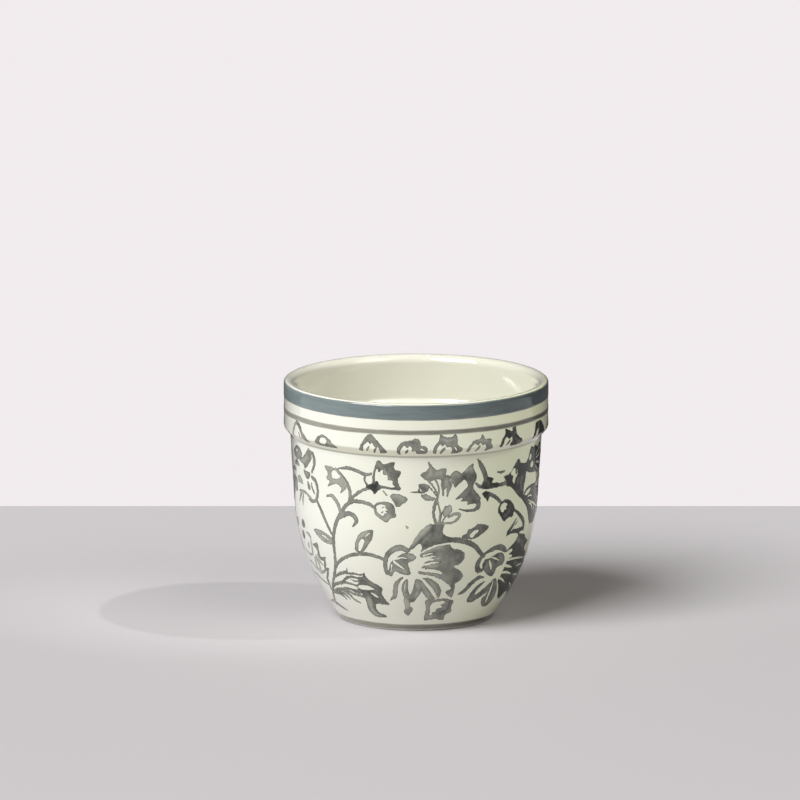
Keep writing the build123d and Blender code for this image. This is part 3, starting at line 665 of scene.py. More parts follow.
THREE_LOBED_BUD: Motif = [
    patch((22.2, 108), (23.2, 112), (26, 115.2), (28.8, 115.4), (29.8, 118.8), (31, 115), (34.6, 115),
          (34.2, 112.2), (35.8, 109), (33, 108)),
    window((23.8, 107.6), (24.6, 111.6), (26.2, 113.4), (27.4, 111.8), (28.8, 113.4), (29.8, 111.6),
           (31.4, 112.4), (31.8, 107.6)),
    stroke((27, 108.4, 0.8), (28, 110.4, 1.4), (29, 112, 0.5), tone=LIGHT),
    tint((26.4, 114.4, 0.8), (29.6, 114.8, 1), (32.6, 113.8, 1)),
]
DARK_CREST_BUD: Motif = [
    patch((38.6, 108.4), (40.2, 113.6), (42.2, 116.6), (41.8, 119.8), (44.6, 117.8), (48.6, 120.4),
          (48.8, 116.6), (50, 113.8), (53.4, 111), (52.8, 108.4), tone=FULL),
    window((40.8, 107.8), (41.4, 112.2), (43, 115), (44, 112.8), (46, 114), (46.2, 111.4), (44.8, 110.6),
           (46.4, 107.8)),
    stroke((43, 109.6, 0.6), (43.8, 111, 1.2), (45, 112.4, 0.5), tone=DARK),
    tint((48.6, 112.6, 1.6), (50.6, 110.6, 2.2), tone=DARK),
    window((44.6, 118), (45.6, 118.6), (46.8, 118.4), (46, 117.2)),
]
SQUARE_CREST_BUD: Motif = [
    patch((61.4, 108.6), (63.2, 113.6), (64.6, 118.6), (70.4, 118.4), (73.4, 115), (76, 110.6), (72, 109),
          tone=FULL),
    window((63.6, 107.8), (65, 112.4), (66.6, 114.6), (67.6, 112.6), (66.4, 110.6), (67.6, 107.8)),
]


# Outline of the pot and sheets of paint on it


def new_object(name: str, data: bpy.types.ID) -> Object:
    """Puts new data in the scene.

    Args:
        name: The object's name.
        data: Its mesh, curve, light or camera.

    Returns:
        The object.
    """
    made = bpy.data.objects.new(name, data)
    bpy.context.scene.collection.objects.link(made)
    return made


@dataclass
class PotOutline:
    """The pot's turned outline, in mm, from the glaze line up, over the lip and down to the floor."""

    foot_radius: float = 43.7
    belly_height: float = 37.0
    belly_bend: float = 120.0
    crease_radius: float = 71.4
    crease_height: float = 106.0
    crease_bend: float = 2.0
    edge_rise: float = 4.5
    edge_bend: float = 1.6
    wall_taper: float = 3.5
    wall: float = 6.0
    lip_width: float = 6.8
    lip_outer_bend: float = 2.0
    lip_inner_bend: float = 4.6
    ledge_bend: float = 3.0
    floor_height: float = 8.0
    floor_bend: float = 6.0
    longest_step: float = 1.6
    widest_turn: float = 6.0
    fewest_steps: int = 4
    collar_radius: float = field(init=False)
    height: float = field(init=False)
    glaze_line: float = field(init=False)

    def __post_init__(self) -> None:
        """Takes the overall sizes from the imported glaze."""
        lowest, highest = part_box("glaze_coat")
        self.collar_radius = highest.x / MM
        self.height = highest.z / MM
        self.glaze_line = lowest.z / MM

    @staticmethod
    def _inset(corners: list[Place], insets: list[float]) -> list[np.ndarray]:
        """Corners of an open outline after each side has moved to its left by its own inset.

        Args:
            corners: Corners of the outline.
            insets: How far each side moves, in mm.

        Returns:
            The moved corners.
        """
        starts, ends = np.array(corners[:-1]), np.array(corners[1:])
        along = (ends - starts) / np.hypot(*(ends - starts).T)[:, None]
        aside = np.column_stack([-along[:, 1], along[:, 0]]) * np.array(insets)[:, None]
        moved = [starts[0] + aside[0]]
        for one in range(len(along) - 1):
            gap = starts[one + 1] + aside[one + 1] - starts[one] - aside[one]
            here, there = along[one], along[one + 1]
            reach = (gap[0] * there[1] - gap[1] * there[0]) / (here[0] * there[1] - here[1] * there[0])
            moved.append(starts[one] + aside[one] + here * reach)
        return [*moved, ends[-1] + aside[-1]]

    def corners(self) -> list[tuple[float, float, float]]:
        """Corners of the glazed surface, each with its bend radius.

        Returns:
            Radius, height and bend of each corner in mm.
        """
        climb = self.crease_height - self.belly_height
        belly_radius = self.crease_radius - climb * math.tan(math.radians(self.wall_taper))
        outside = [
            (self.foot_radius, 0.0),
            (belly_radius, self.belly_height),
            (self.crease_radius, self.crease_height),
            (self.collar_radius, self.crease_height + self.edge_rise),
            (self.collar_radius, self.height),
        ]
        insets = [self.wall, self.wall, self.wall, self.lip_width]
        foot, belly, ledge, shoulder, mouth = self._inset(outside, insets)
        floor = foot + (belly - foot) * (self.floor_height - foot[1]) / (belly[1] - foot[1])
        line = (self.foot_radius + (belly_radius - self.foot_radius) * self.glaze_line / self.belly_height,
                self.glaze_line)
        places = [line, *outside[1:], mouth, shoulder, ledge, belly, floor, (0.0, self.floor_height)]
        bends = [0.0, self.belly_bend, self.crease_bend, self.edge_bend, self.lip_outer_bend,
                 self.lip_inner_bend, self.ledge_bend, self.ledge_bend, self.belly_bend - self.wall,
                 self.floor_bend, 0.0]
        return [(*place, bend) for place, bend in zip(places, bends)]

    def points(self) -> np.ndarray:
        """Points along the outline, close enough to look smooth.

        Returns:
            Rows of radius and height in mm.
        """
        corners = self.corners()
        places = [np.array(corners[0][:2])]
        for before, corner, after in zip(corners, corners[1:], corners[2:]):
            places.extend(self._bend(np.array(before[:2]), np.array(corner), np.array(after[:2])))
        places.append(np.array(corners[-1][:2]))
        dense = [places[0]]
        for start, end in zip(places, places[1:]):
            count = max(1, math.ceil(np.hypot(*(end - start)) / self.longest_step))
            dense.extend(start + (end - start) * step / count for step in range(1, count + 1))
        return np.array(dense)

    def _bend(self, before: np.ndarray, corner: np.ndarray, after: np.ndarray) -> list[np.ndarray]:
        """Points of the arc that rounds a corner.

        Args:
            before: The place before the corner.
            corner: The corner and its bend radius.
            after: The place after it.

        Returns:
            Places along the arc.
        """
        place, bend = corner[:2], corner[2]
        inward = (before - place) / np.hypot(*(before - place))
        outward = (after - place) / np.hypot(*(after - place))
        turn = math.pi - math.acos(float(np.clip(inward @ outward, -1, 1)))
        back = bend * math.tan(turn / 2)
        start = place + inward * back
        middle = (inward + outward) / np.hypot(*(inward + outward))
        centre = place + middle * math.hypot(bend, back)
        first = start - centre
        last = place + outward * back - centre
        across, up = first
        sense = math.copysign(1.0, across * last[1] - up * last[0])
        count = max(self.fewest_steps, math.ceil(math.degrees(turn) / self.widest_turn),
                    math.ceil(bend * turn / self.longest_step))
        arc = []
        for step in range(count + 1):
            angle = sense * turn * step / count
            cosine, sine = math.cos(angle), math.sin(angle)
            arc.append(centre + np.array([across * cosine - up * sine, across * sine + up * cosine]))
        return arc


@dataclass
class Outline:
    """An outline as a curve object that painted sheets are wrapped on."""

    sizes: PotOutline = field(default_factory=PotOutline)
    places: np.ndarray = field(init=False)
    climbs: np.ndarray = field(init=False)
    guide: Object = field(init=False)

    def __post_init__(self) -> None:
        """Measures the outline and makes its guide curve."""
        self.places = self.sizes.points()
        steps = np.hypot(*np.diff(self.places, axis=0).T)
        self.climbs = np.concatenate([[0.0], np.cumsum(steps)])
        curve = bpy.data.curves.new("outline_guide", "CURVE")
        spline = curve.splines.new("POLY")
        spline.points.add(len(self.places) - 1)
        for point, (radius, height) in zip(spline.points, self.places):
            point.co = (radius * MM, height * MM, 0.0, 1.0)
        self.guide = new_object("outline_guide", curve)

    def climb(self, heights: np.ndarray | float) -> np.ndarray:
        """Length along the outside of the outline at given heights.

        Args:
            heights: Heights in mm, all below the lip's crest.

        Returns:
            Lengths in mm from the glaze line.
        """
        top = int(np.argmax(self.places[:, 1] >= self.sizes.height - HAIR)) + 1
        return np.interp(heights, self.places[:top, 1], self.climbs[:top])

    def remove(self) -> None:
        """Deletes the guide curve once every piece is made."""
        bpy.data.objects.remove(self.guide)


@dataclass
class Sheet:
    """A flat sheet of paint or glaze: places on the unrolled surface, faces, depth from the edge and tone."""

    places: np.ndarray
    faces: list[tuple[int, ...]]
    depth: np.ndarray
    tone: np.ndarray


@dataclass
class Easel:
    """Turns painted shapes on the unrolled surface into sheets, one for each kind of motif, in mm."""

    lowest: float
    highest: float
    turn: float = 180.0
    cell: float = 0.38
    seed: int = 7
    wobble: float = 0.1
    wobble_waves: int = 14
    waves_per_mm: Span = (0.15, 0.55)
    wave_lean: float = 2.6
    margin: float = 3.0
    far: float = 9.0
    tone_spread: float = 0.3
    tone_blurs: int = 5
    x: np.ndarray = field(init=False)
    height: np.ndarray = field(init=False)
    unevenness: np.ndarray = field(init=False)

    def __post_init__(self) -> None:
        """Lays out the grid on which the paint is measured."""
        half = self.turn / 2 * MM_PER_DEGREE
        columns = round(2 * half / self.cell)
        rows = round((self.highest - self.lowest) / self.cell)
        across = np.linspace(-half, half, columns + 1)
        upwards = np.linspace(self.lowest, self.highest, rows + 1)
        self.x, self.height = np.meshgrid(across, upwards, indexing="ij")
        rng = random.Random(self.seed)
        self.unevenness = np.zeros(self.x.shape)
        for _ in range(self.wobble_waves):
            waves = round(rng.uniform(*self.waves_per_mm) * 2 * half)
            lean = rng.uniform(-self.wave_lean, self.wave_lean)
            phase = rng.uniform(0, 2 * math.pi)
            self.unevenness += np.sin(waves * math.pi * self.x / half + lean * self.height + phase)
        self.unevenness *= self.wobble / math.sqrt(self.wobble_waves / 2)

    def field_of(self, shapes: Motif) -> tuple[np.ndarray, np.ndarray]:
        """Paints shapes in order on the grid, round and round the turn.

        Args:
            shapes: Shapes of one kind of motif.

        Returns:
            Signed distance to the paint's edge and the tone at each grid point.
        """
        distance = np.full(self.x.shape, self.far)
        tone = np.full(self.x.shape, MID.value)
        period = self.turn * MM_PER_DEGREE
        for shape in shapes:
            low, high = shape.reach() + np.array([[-self.margin], [self.margin]])
            for shift in (-period, 0.0, period):
                columns = np.flatnonzero((self.x[:, 0] > low[0] + shift) & (self.x[:, 0] < high[0] + shift))
                rows = np.flatnonzero((self.height[0] > low[1]) & (self.height[0] < high[1]))
                if not len(columns) or not len(rows):
                    continue
                part = np.s_[columns[0]:columns[-1] + 1, rows[0]:rows[-1] + 1]
                own = shape.distance(self.x[part] - shift, self.height[part])
                if shape.touch is Touch.BARE:
                    distance[part] = np.maximum(distance[part], -own)
                elif shape.touch is Touch.TINT:
                    tone[part] = np.where(own < 0, shape.tone.value, tone[part])
                else:
                    covered = own < np.minimum(distance[part], self.tone_spread)
                    tone[part] = np.where(covered, shape.tone.value, tone[part])
                    distance[part] = np.minimum(distance[part], own)
        return distance + self.unevenness, tone

    def sheets(self, kinds: dict[str, Motif]) -> dict[str, Sheet]:
        """Sheets of all kinds of motif, each clear of the kinds before it.

        Args:
            kinds: Shapes by kind of motif, the first painted on top.

        Returns:
            A sheet for each kind, with places as flat x and height in mm.
        """
        fields = {name: self.field_of(shapes) for name, shapes in kinds.items()}
        union = np.minimum.reduce([distance for distance, _ in fields.values()])
        tones = {name: self._softened(tone) for name, (_, tone) in fields.items()}
        sheets = {}
        earlier = np.full(self.x.shape, self.far)
        for name, (distance, _) in fields.items():
            sheets[name] = self._cut(np.maximum(distance, -earlier), -union, tones[name])
            earlier = np.minimum(earlier, distance)
        return sheets

    def _softened(self, tone: np.ndarray) -> np.ndarray:
        """Blurs the steps between tones over a few cells.

        Args:
            tone: Tone at each grid point.

        Returns:
            The blurred tone.
        """
        for _ in range(self.tone_blurs):
            tone = (np.roll(tone, 1, 0) + np.roll(tone, -1, 0) + 2 * tone) / 4
            tone[:, 1:-1] = (tone[:, 2:] + tone[:, :-2] + 2 * tone[:, 1:-1]) / 4
        return tone

    def _cut(self, distance: np.ndarray, depth: np.ndarray, tone: np.ndarray) -> Sheet:
        """Cuts the painted cells out of the grid along the line where the distance is zero.

        Args:
            distance: Signed distance of this kind of motif.
            depth: Distance inside all the paint.
            tone: Tone at each grid point.

        Returns:
            The sheet of the painted cells.
        """
        distance = np.where(np.abs(distance) < HAIR, HAIR, distance)
        columns, rows = distance.shape
        index = np.arange(columns * rows).reshape(columns, rows)
        # Corners of a cell in turn, and the grid points that they stand on
        steps = [(0, 0), (1, 0), (1, 1), (0, 1)]
        corner = [index[i:columns - 1 + i, j:rows - 1 + j].ravel() for i, j in steps]
        flat = distance.ravel()
        inside = [flat[one] < 0 for one in corner]
        case = sum(mask.astype(int) << bit for bit, mask in enumerate(inside))
        keys: list[np.ndarray] = []
        faces: list[np.ndarray] = []
        total = columns * rows
        for number in range(1, 16):
            cells = np.flatnonzero(case == number)
            if not len(cells):
                continue
            for ring in self._rings(number):
                spots = []
                for spot in ring:
                    here = corner[spot // 2][cells]
                    there = corner[(spot // 2 + 1) % 4][cells]
                    low, high = np.minimum(here, there), np.maximum(here, there)
                    spots.append(low * total + high if spot % 2 else here * total + here)
                faces.append(np.stack(spots, axis=1))
                keys.append(faces[-1].ravel())
        unique, inverse = np.unique(np.concatenate(keys), return_inverse=True)
        first, second = unique // total, unique % total
        same = first == second
        share = np.where(same, 0.0, flat[first] / np.where(same, 1.0, flat[first] - flat[second]))

        def blended(values: np.ndarray) -> np.ndarray:
            """Values at grid points or at crossings between two of them."""
            line = values.ravel()
            return line[first] + share * (line[second] - line[first])

        out = []
        at = 0
        for face in faces:
            count = face.size
            out.extend(map(tuple, inverse[at:at + count].reshape(face.shape).tolist()))
            at += count
        places = np.stack([blended(self.x), blended(self.height)], axis=1)
        return Sheet(places, out, np.maximum(blended(depth), 0.0), blended(tone))

    @staticmethod
    def _rings(number: int) -> list[list[int]]:
        """Outlines of the painted part of a cell.

        Args:
            number: The cell's painted corners, one bit each.

        Returns:
            Rings of spots: even numbers are corners, odd ones the edges that follow them.
        """
        painted = [bool(number >> bit & 1) for bit in range(4)]
        if number in (5, 10):
            first = 0 if number == 5 else 1
            return [[2 * one, (2 * one + 1) % 8, (2 * one - 1) % 8] for one in (first, first + 2)]
        ring = []
        for one in range(4):
            if painted[one]:
                ring.append(2 * one)
            if painted[one] != painted[(one + 1) % 4]:
                ring.append(2 * one + 1)
        return [ring]


# Node trees


@dataclass
class Wiring:
    """Adds nodes to a tree and links them."""

    tree: NodeTree

    def add(self, kind: str, inputs: dict | None = None, **settings: object) -> Node:
        """A new node.

        Args:
            kind: The node's type name.
            inputs: A value, or another node's output, for each input by name or number.
            settings: Properties of the node.

        Returns:
            The node.
        """
        node = self.tree.nodes.new(kind)
        for name, value in settings.items():
            setattr(node, name, value)
        for key, value in (inputs or {}).items():
            if isinstance(value, NodeSocket):
                self.link(value, node.inputs[key])
            else:
                node.inputs[key].default_value = value
        return node

    def math(self, operation: str, *values: object) -> NodeSocket:
        """Result of an arithmetic step on numbers or outputs."""
        return self.add("ShaderNodeMath", dict(enumerate(values)), operation=operation).outputs[0]

    def split(self, vector: NodeSocket) -> NodeOutputs:
        """The three parts of a vector."""
        return self.add("ShaderNodeSeparateXYZ", {0: vector}).outputs

    def link(self, output: NodeSocket, socket: NodeSocket) -> None:
        """Feeds an output to an input."""
        self.tree.links.new(output, socket)

    def place(self) -> NodeSocket:
        """Where on the object a point of its surface lies, in metres."""
        return self.add("ShaderNodeTexCoord").outputs["Object"]

    def group(self, tree: NodeTree, inputs: dict) -> NodeSocket:
        """First output of a shared group with its own values."""
        return self.add("ShaderNodeGroup", inputs, node_tree=tree).outputs[0]

    def ramped(self, value: object, low: object, high: object, to_low: float = 0.0,
               to_high: float = 1.0) -> NodeSocket:
        """A value carried smoothly from one range to another.

        Args:
            value: Number or output to carry over.
            low: Start of its range.
            high: End of its range.
            to_low: Result at the start.
            to_high: Result at the end.

        Returns:
            The result's output.
        """
        inputs = {"Value": value, "From Min": low, "From Max": high, "To Min": to_low, "To Max": to_high}
        return self.add("ShaderNodeMapRange", inputs, interpolation_type="SMOOTHSTEP").outputs["Result"]

    def blend(self, share: object, first: object, second: object, how: str = "MIX") -> NodeSocket:
        """A mix of two colours.

        Args:
            share: How much of the second colour shows.
            first: Colour or output.
            second: Colour or output.
            how: Name of the way they mix.

        Returns:
            The colour's output.
        """
        inputs = {0: share, 6: first, 7: second}
        return self.add("ShaderNodeMix", inputs, data_type="RGBA", blend_type=how).outputs[2]

    def noise(self, place: object, scale: object, detail: float = 2.0,
              roughness: float = 0.5) -> NodeSocket:
        """Cloudy noise between 0 and 1.

        Args:
            place: Output that says where the noise is read.
            scale: Patches per metre.
            detail: How many finer layers it has.
            roughness: How strong they are.

        Returns:
            The noise's output.
        """
        inputs = {"Vector": place, "Scale": scale, "Detail": detail, "Roughness": roughness}
        return self.add("ShaderNodeTexNoise", inputs).outputs[0]


def new_tree(name: str, kind: str, inputs: dict[str, str],
             output: tuple[str, str]) -> tuple[Wiring, NodeOutputs, NodeSocket]:
    """An empty node group.

    Args:
        name: The group's name.
        kind: The tree's type name.
        inputs: Short type of each input by name.
        output: Name and short type of its output.

    Returns:
        The tree's wiring, the group's inputs as outputs of its input node, and the socket of its output.
    """
    tree = bpy.data.node_groups.new(name, kind)
    sockets = [(label, "INPUT", sort) for label, sort in inputs.items()]
    for label, direction, sort in [*sockets, (output[0], "OUTPUT", output[1])]:
        tree.interface.new_socket(label, in_out=direction, socket_type=f"NodeSocket{sort}")
    wiring = Wiring(tree)
    return wiring, wiring.add("NodeGroupInput").outputs, wiring.add("NodeGroupOutput").inputs[0]


@dataclass
class OutlineWrap:
    """Geometry Nodes tree that lays flat sheets on the turned outline, in one or more copies round it."""

    outline: Outline
    weld: float = 1e-6
    tree: NodeTree = field(init=False)

    def __post_init__(self) -> None:
        """Builds the tree."""
        inputs = {"Geometry": "Geometry", "Outline": "Object", "Unrolled Radius": "Float", "Copies": "Int",
                  "Weld Distance": "Float", "Finish": "Material"}
        wiring, given, result = new_tree("wrap_on_outline", "GeometryNodeTree", inputs,
                                         ("Geometry", "Geometry"))
        self.tree = wiring.tree
        around = wiring.math("MULTIPLY", given["Unrolled Radius"], 2 * math.pi)
        step = wiring.add("ShaderNodeCombineXYZ", {0: wiring.math("DIVIDE", around, given["Copies"])})
        spots = wiring.add("GeometryNodeMeshLine", {"Count": given["Copies"], "Offset": step.outputs[0]})
        copies = wiring.add("GeometryNodeInstanceOnPoints",
                            {"Points": spots.outputs[0], "Instance": given["Geometry"]})
        flat = wiring.add("GeometryNodeRealizeInstances", {0: copies.outputs[0]}).outputs[0]
        place = wiring.split(wiring.add("GeometryNodeInputPosition").outputs[0])
        guide = wiring.add("GeometryNodeObjectInfo", {"Object": given["Outline"]}).outputs["Geometry"]
        sample = wiring.add("GeometryNodeSampleCurve", {"Curves": guide, "Length": place[1]}, mode="LENGTH")
        spot = wiring.split(sample.outputs["Position"])
        slope = wiring.split(sample.outputs["Tangent"])
        radius = wiring.math("MULTIPLY_ADD", slope[1], place[2], spot[0])
        height = wiring.math("MULTIPLY_ADD", wiring.math("MULTIPLY", slope[0], -1.0), place[2], spot[1])
        angle = wiring.math("DIVIDE", place[0], given["Unrolled Radius"])
        across = wiring.math("MULTIPLY", radius, wiring.math("SINE", angle))
        back = wiring.math("MULTIPLY", wiring.math("MULTIPLY", radius, wiring.math("COSINE", angle)), -1.0)
        spread = wiring.add("ShaderNodeCombineXYZ", {0: across, 1: back, 2: height})
        laid = wiring.add("GeometryNodeSetPosition", {"Geometry": flat, "Position": spread.outputs[0]})
        welded = wiring.add("GeometryNodeMergeByDistance",
                            {"Geometry": laid.outputs[0], "Distance": given["Weld Distance"]})
        smooth = wiring.add("GeometryNodeSetShadeSmooth", {"Geometry": welded.outputs[0]})
        whole = wiring.add("GeometryNodeRealizeInstances", {0: smooth.outputs[0]})
        painted = wiring.add("GeometryNodeSetMaterial",
                             {"Geometry": whole.outputs[0], "Material": given["Finish"]})
        wiring.link(painted.outputs[0], result)

    def lay(self, name: str, sheet: Sheet, lift: np.ndarray, copies: int,
            finish: Material) -> Object:
        """Lays a closed sheet on the outline.

        Args:
            name: The new piece's name.
            sheet: The sheet, with flat x and climb in mm.
            lift: Height of each place above the outline in mm.
            copies: How many times it goes round the pot.
            finish: Its material.

        Returns:
            The piece, as a plain mesh.
        """
        mesh = bpy.data.meshes.new(f"{name}_flat")
        points = np.column_stack([sheet.places, lift]) * MM
        mesh.from_pydata(points.tolist(), [], sheet.faces)
        for label, values in (("depth", sheet.depth), ("tone", sheet.tone)):
            mesh.attributes.new(label, "FLOAT", "POINT").data.foreach_set("value", values.astype(np.float32))
        flat = new_object(f"{name}_flat", mesh)
        modifier = flat.modifiers.new("wrap", "NODES")
        modifier.node_group = self.tree
        values = {"Outline": self.outline.guide, "Unrolled Radius": UNROLLED_RADIUS * MM, "Copies": copies,
                  "Weld Distance": self.weld, "Finish": finish}
        for item in self.tree.interface.items_tree:
            if item.in_out == "INPUT" and item.name in values:
                modifier[item.identifier] = values[item.name]
        graph = bpy.context.evaluated_depsgraph_get()
        solid = bpy.data.meshes.new_from_object(flat.evaluated_get(graph), preserve_all_data_layers=True,
                                                depsgraph=graph)
        flat.modifiers.remove(modifier)
        bpy.data.objects.remove(flat)
        solid.name = name
        return new_object(name, solid)


def closed(sheet: Sheet, top: np.ndarray, sunk: float, seams: Span) -> tuple[Sheet, np.ndarray]:
    """Gives a sheet a back and walls.

    Args:
        sheet: Open sheet whose faces look outwards.
        top: Height of each place above the outline in mm.
        sunk: How far the back lies under the outline in mm.
        seams: Flat x of the two sides that meet another copy, which get no wall.

    Returns:
        The closed sheet and the height of each of its places.
    """
    count = len(sheet.places)
    faces = list(sheet.faces)
    edges: dict[tuple[int, int], int] = {}
    for face in sheet.faces:
        faces.append(tuple(one + count for one in reversed(face)))
        for start, end in zip(face, face[1:] + face[:1]):
            edges[start, end] = edges.get((start, end), 0) + 1
    x = sheet.places[:, 0]
    for start, end in edges:
        on_seam = any(abs(x[start] - seam) < HAIR and abs(x[end] - seam) < HAIR for seam in seams)
        if (end, start) not in edges and not on_seam:
            faces.append((end, start, start + count, end + count))
    whole = Sheet(
        np.vstack([sheet.places, sheet.places]),
        faces,
        np.concatenate([sheet.depth, sheet.depth]),
        np.concatenate([sheet.tone, sheet.tone]),
    )
    return whole, np.concatenate([top, np.full(count, -sunk)])


# Finishes

# Noise between which a cloud of the second colour fades in, and the share of cells without a speck
CLOUD_EDGES = (0.35, 0.7)
CLEAR_SHARE = 0.82
# How far the pooled colour covers the enamel at its very edge
EDGE_STRENGTH = 0.75


@dataclass(frozen=True)
class SharedEffects:
    """Shader node groups that several finishes use."""

    ripple: NodeTree
    mottle: NodeTree
    wash: NodeTree

    @classmethod
    def build(cls) -> "SharedEffects":
        """Builds the three groups once."""
        return cls(cls._ripple(), cls._mottle(), cls._wash())

    @staticmethod
    def _ripple() -> NodeTree:
        """Slow waves and fine pitting of a fired surface.

        Returns:
            A group with inputs Waves, Pits and Pit Share, and the output Height.
        """
        inputs = dict.fromkeys(("Waves", "Pits", "Pit Share"), "Float")
        wiring, given, result = new_tree("fired_ripple", "ShaderNodeTree", inputs, ("Height", "Float"))
        place = wiring.place()
        waves = wiring.noise(place, given["Waves"], 1.0)
        pits = wiring.noise(place, given["Pits"], 2.0, 0.6)
        wiring.link(wiring.math("MULTIPLY_ADD", pits, given["Pit Share"], waves), result)
        return wiring.tree

    @staticmethod
    def _mottle() -> NodeTree:
        """Clouds of a second colour and small dark iron specks.

        Returns:
            A group with inputs Body, Cloud, Speck, Clouds, Specks and Speck Size, and the output Colour.
        """
        inputs = {"Body": "Color", "Cloud": "Color", "Speck": "Color", "Clouds": "Float", "Specks": "Float",
                  "Speck Size": "Float"}
        wiring, given, result = new_tree("glaze_mottle", "ShaderNodeTree", inputs, ("Colour", "Color"))
        place = wiring.place()
        clouds = wiring.noise(place, given["Clouds"], 3.0, 0.6)
        cloudy = wiring.blend(wiring.ramped(clouds, *CLOUD_EDGES), given["Body"], given["Cloud"])
        cells = wiring.add("ShaderNodeTexVoronoi",
                           {"Vector": place, "Scale": given["Specks"], "Randomness": 1.0}).outputs
        pick = wiring.add("ShaderNodeSeparateColor", {0: cells["Color"]}).outputs[0]
        rare = wiring.math("GREATER_THAN", pick, CLEAR_SHARE)
        spot = wiring.ramped(cells["Distance"], 0.0, given["Speck Size"], 1.0, 0.0)
        speckled = wiring.blend(wiring.math("MULTIPLY", spot, rare), cloudy, given["Speck"])
        wiring.link(speckled, result)
        return wiring.tree

    @staticmethod
    def _wash() -> NodeTree:
        """Brushed enamel: darker where it pools along its edge, paler where the brush ran thin.

        Returns:
            A group with inputs Thin, Full, Edge, Edge Width, Streaks, Stretch and Streak Share, and the
            output Colour.
        """
        inputs = {"Thin": "Color", "Full": "Color", "Edge": "Color", "Edge Width": "Float",
                  "Streaks": "Float", "Stretch": "Vector", "Streak Share": "Float"}
        wiring, given, result = new_tree("brush_wash", "ShaderNodeTree", inputs, ("Colour", "Color"))
        stretched = wiring.add("ShaderNodeVectorMath", {0: wiring.place(), 1: given["Stretch"]},
                               operation="MULTIPLY").outputs[0]
        streaks = wiring.noise(stretched, given["Streaks"], 4.0, 0.65)
        tone = wiring.add("ShaderNodeAttribute", attribute_name="tone").outputs["Fac"]
        depth = wiring.add("ShaderNodeAttribute", attribute_name="depth").outputs["Fac"]
        uneven = wiring.math("MULTIPLY", wiring.math("SUBTRACT", streaks, 0.5), given["Streak Share"])
        strength = wiring.add("ShaderNodeClamp", {0: wiring.math("ADD", tone, uneven)}).outputs[0]
        body = wiring.blend(strength, given["Thin"], given["Full"])
        rim = wiring.ramped(depth, 0.0, given["Edge Width"], EDGE_STRENGTH, 0.0)
        wiring.link(wiring.blend(rim, body, given["Edge"]), result)
        return wiring.tree


def surface(name: str) -> tuple[Material, Wiring, NodeInputs]:
    """An empty material.

    Args:
        name: The material's name.

    Returns:
        The material, its wiring and the inputs of its Principled shader.
    """
    material = bpy.data.materials.new(name)
    material.use_nodes = True
    return material, Wiring(material.node_tree), material.node_tree.nodes["Principled BSDF"].inputs


@dataclass(frozen=True)
class Ripple:
    """Ripple of one finish: waves and pits per metre, how strong the pits are, and its depth in metres."""

    waves: float
    pits: float
    pit_share: float
    depth: float

    def roughen(self, effects: SharedEffects, wiring: Wiring, shader: NodeInputs) -> None:
        """Raises a shader's surface by the ripple.

        Args:
            effects: The shared groups.
            wiring: The material's wiring.
            shader: Inputs of its shader.
        """
        height = wiring.group(effects.ripple, {"Waves": self.waves, "Pits": self.pits,
                                               "Pit Share": self.pit_share})
        bump = wiring.add("ShaderNodeBump", {"Strength": 1.0, "Distance": self.depth, "Height": height})
        wiring.link(bump.outputs[0], shader["Normal"])


@dataclass(frozen=True)
class Mottle:
    """Mottle of one finish: its colours, clouds and specks per metre, and the size of a speck."""

    body: Colour
    cloud: Colour
    speck: Colour
    clouds: float
    specks: float
    speck_size: float

    def colour(self, effects: SharedEffects, wiring: Wiring) -> NodeSocket:
        """Places the mottle in a material.

        Args:
            effects: The shared groups.
            wiring: The material's wiring.

        Returns:
            The colour's output.
        """
        return wiring.group(effects.mottle, {
            "Body": self.body, "Cloud": self.cloud, "Speck": self.speck, "Clouds": self.clouds,
            "Specks": self.specks, "Speck Size": self.speck_size,
        })


@dataclass(frozen=True)
class Finish:
    """A fired surface: the plain values of its shader and its ripple."""

    name: str
    roughness: float
    ripple: Ripple
    coat: float = 0.0
    coat_roughness: float = 0.03
    ior: float = 1.5

    def colour(self, effects: SharedEffects, wiring: Wiring) -> NodeSocket:
        """Its colour over the surface, which each kind of finish makes in its own way.

        Args:
            effects: The shared groups.
            wiring: The material's wiring.

        Returns:
            The colour's output.
        """
        raise NotImplementedError

    def material(self, effects: SharedEffects) -> Material:
        """Builds the material.

        Args:
            effects: The shared groups.

        Returns:
            The material.
        """
        material, wiring, shader = surface(self.name)
        wiring.link(self.colour(effects, wiring), shader["Base Color"])
        shader["Roughness"].default_value = self.roughness
        shader["IOR"].default_value = self.ior
        shader["Coat Weight"].default_value = self.coat
        shader["Coat Roughness"].default_value = self.coat_roughness
        self.ripple.roughen(effects, wiring, shader)
        return material


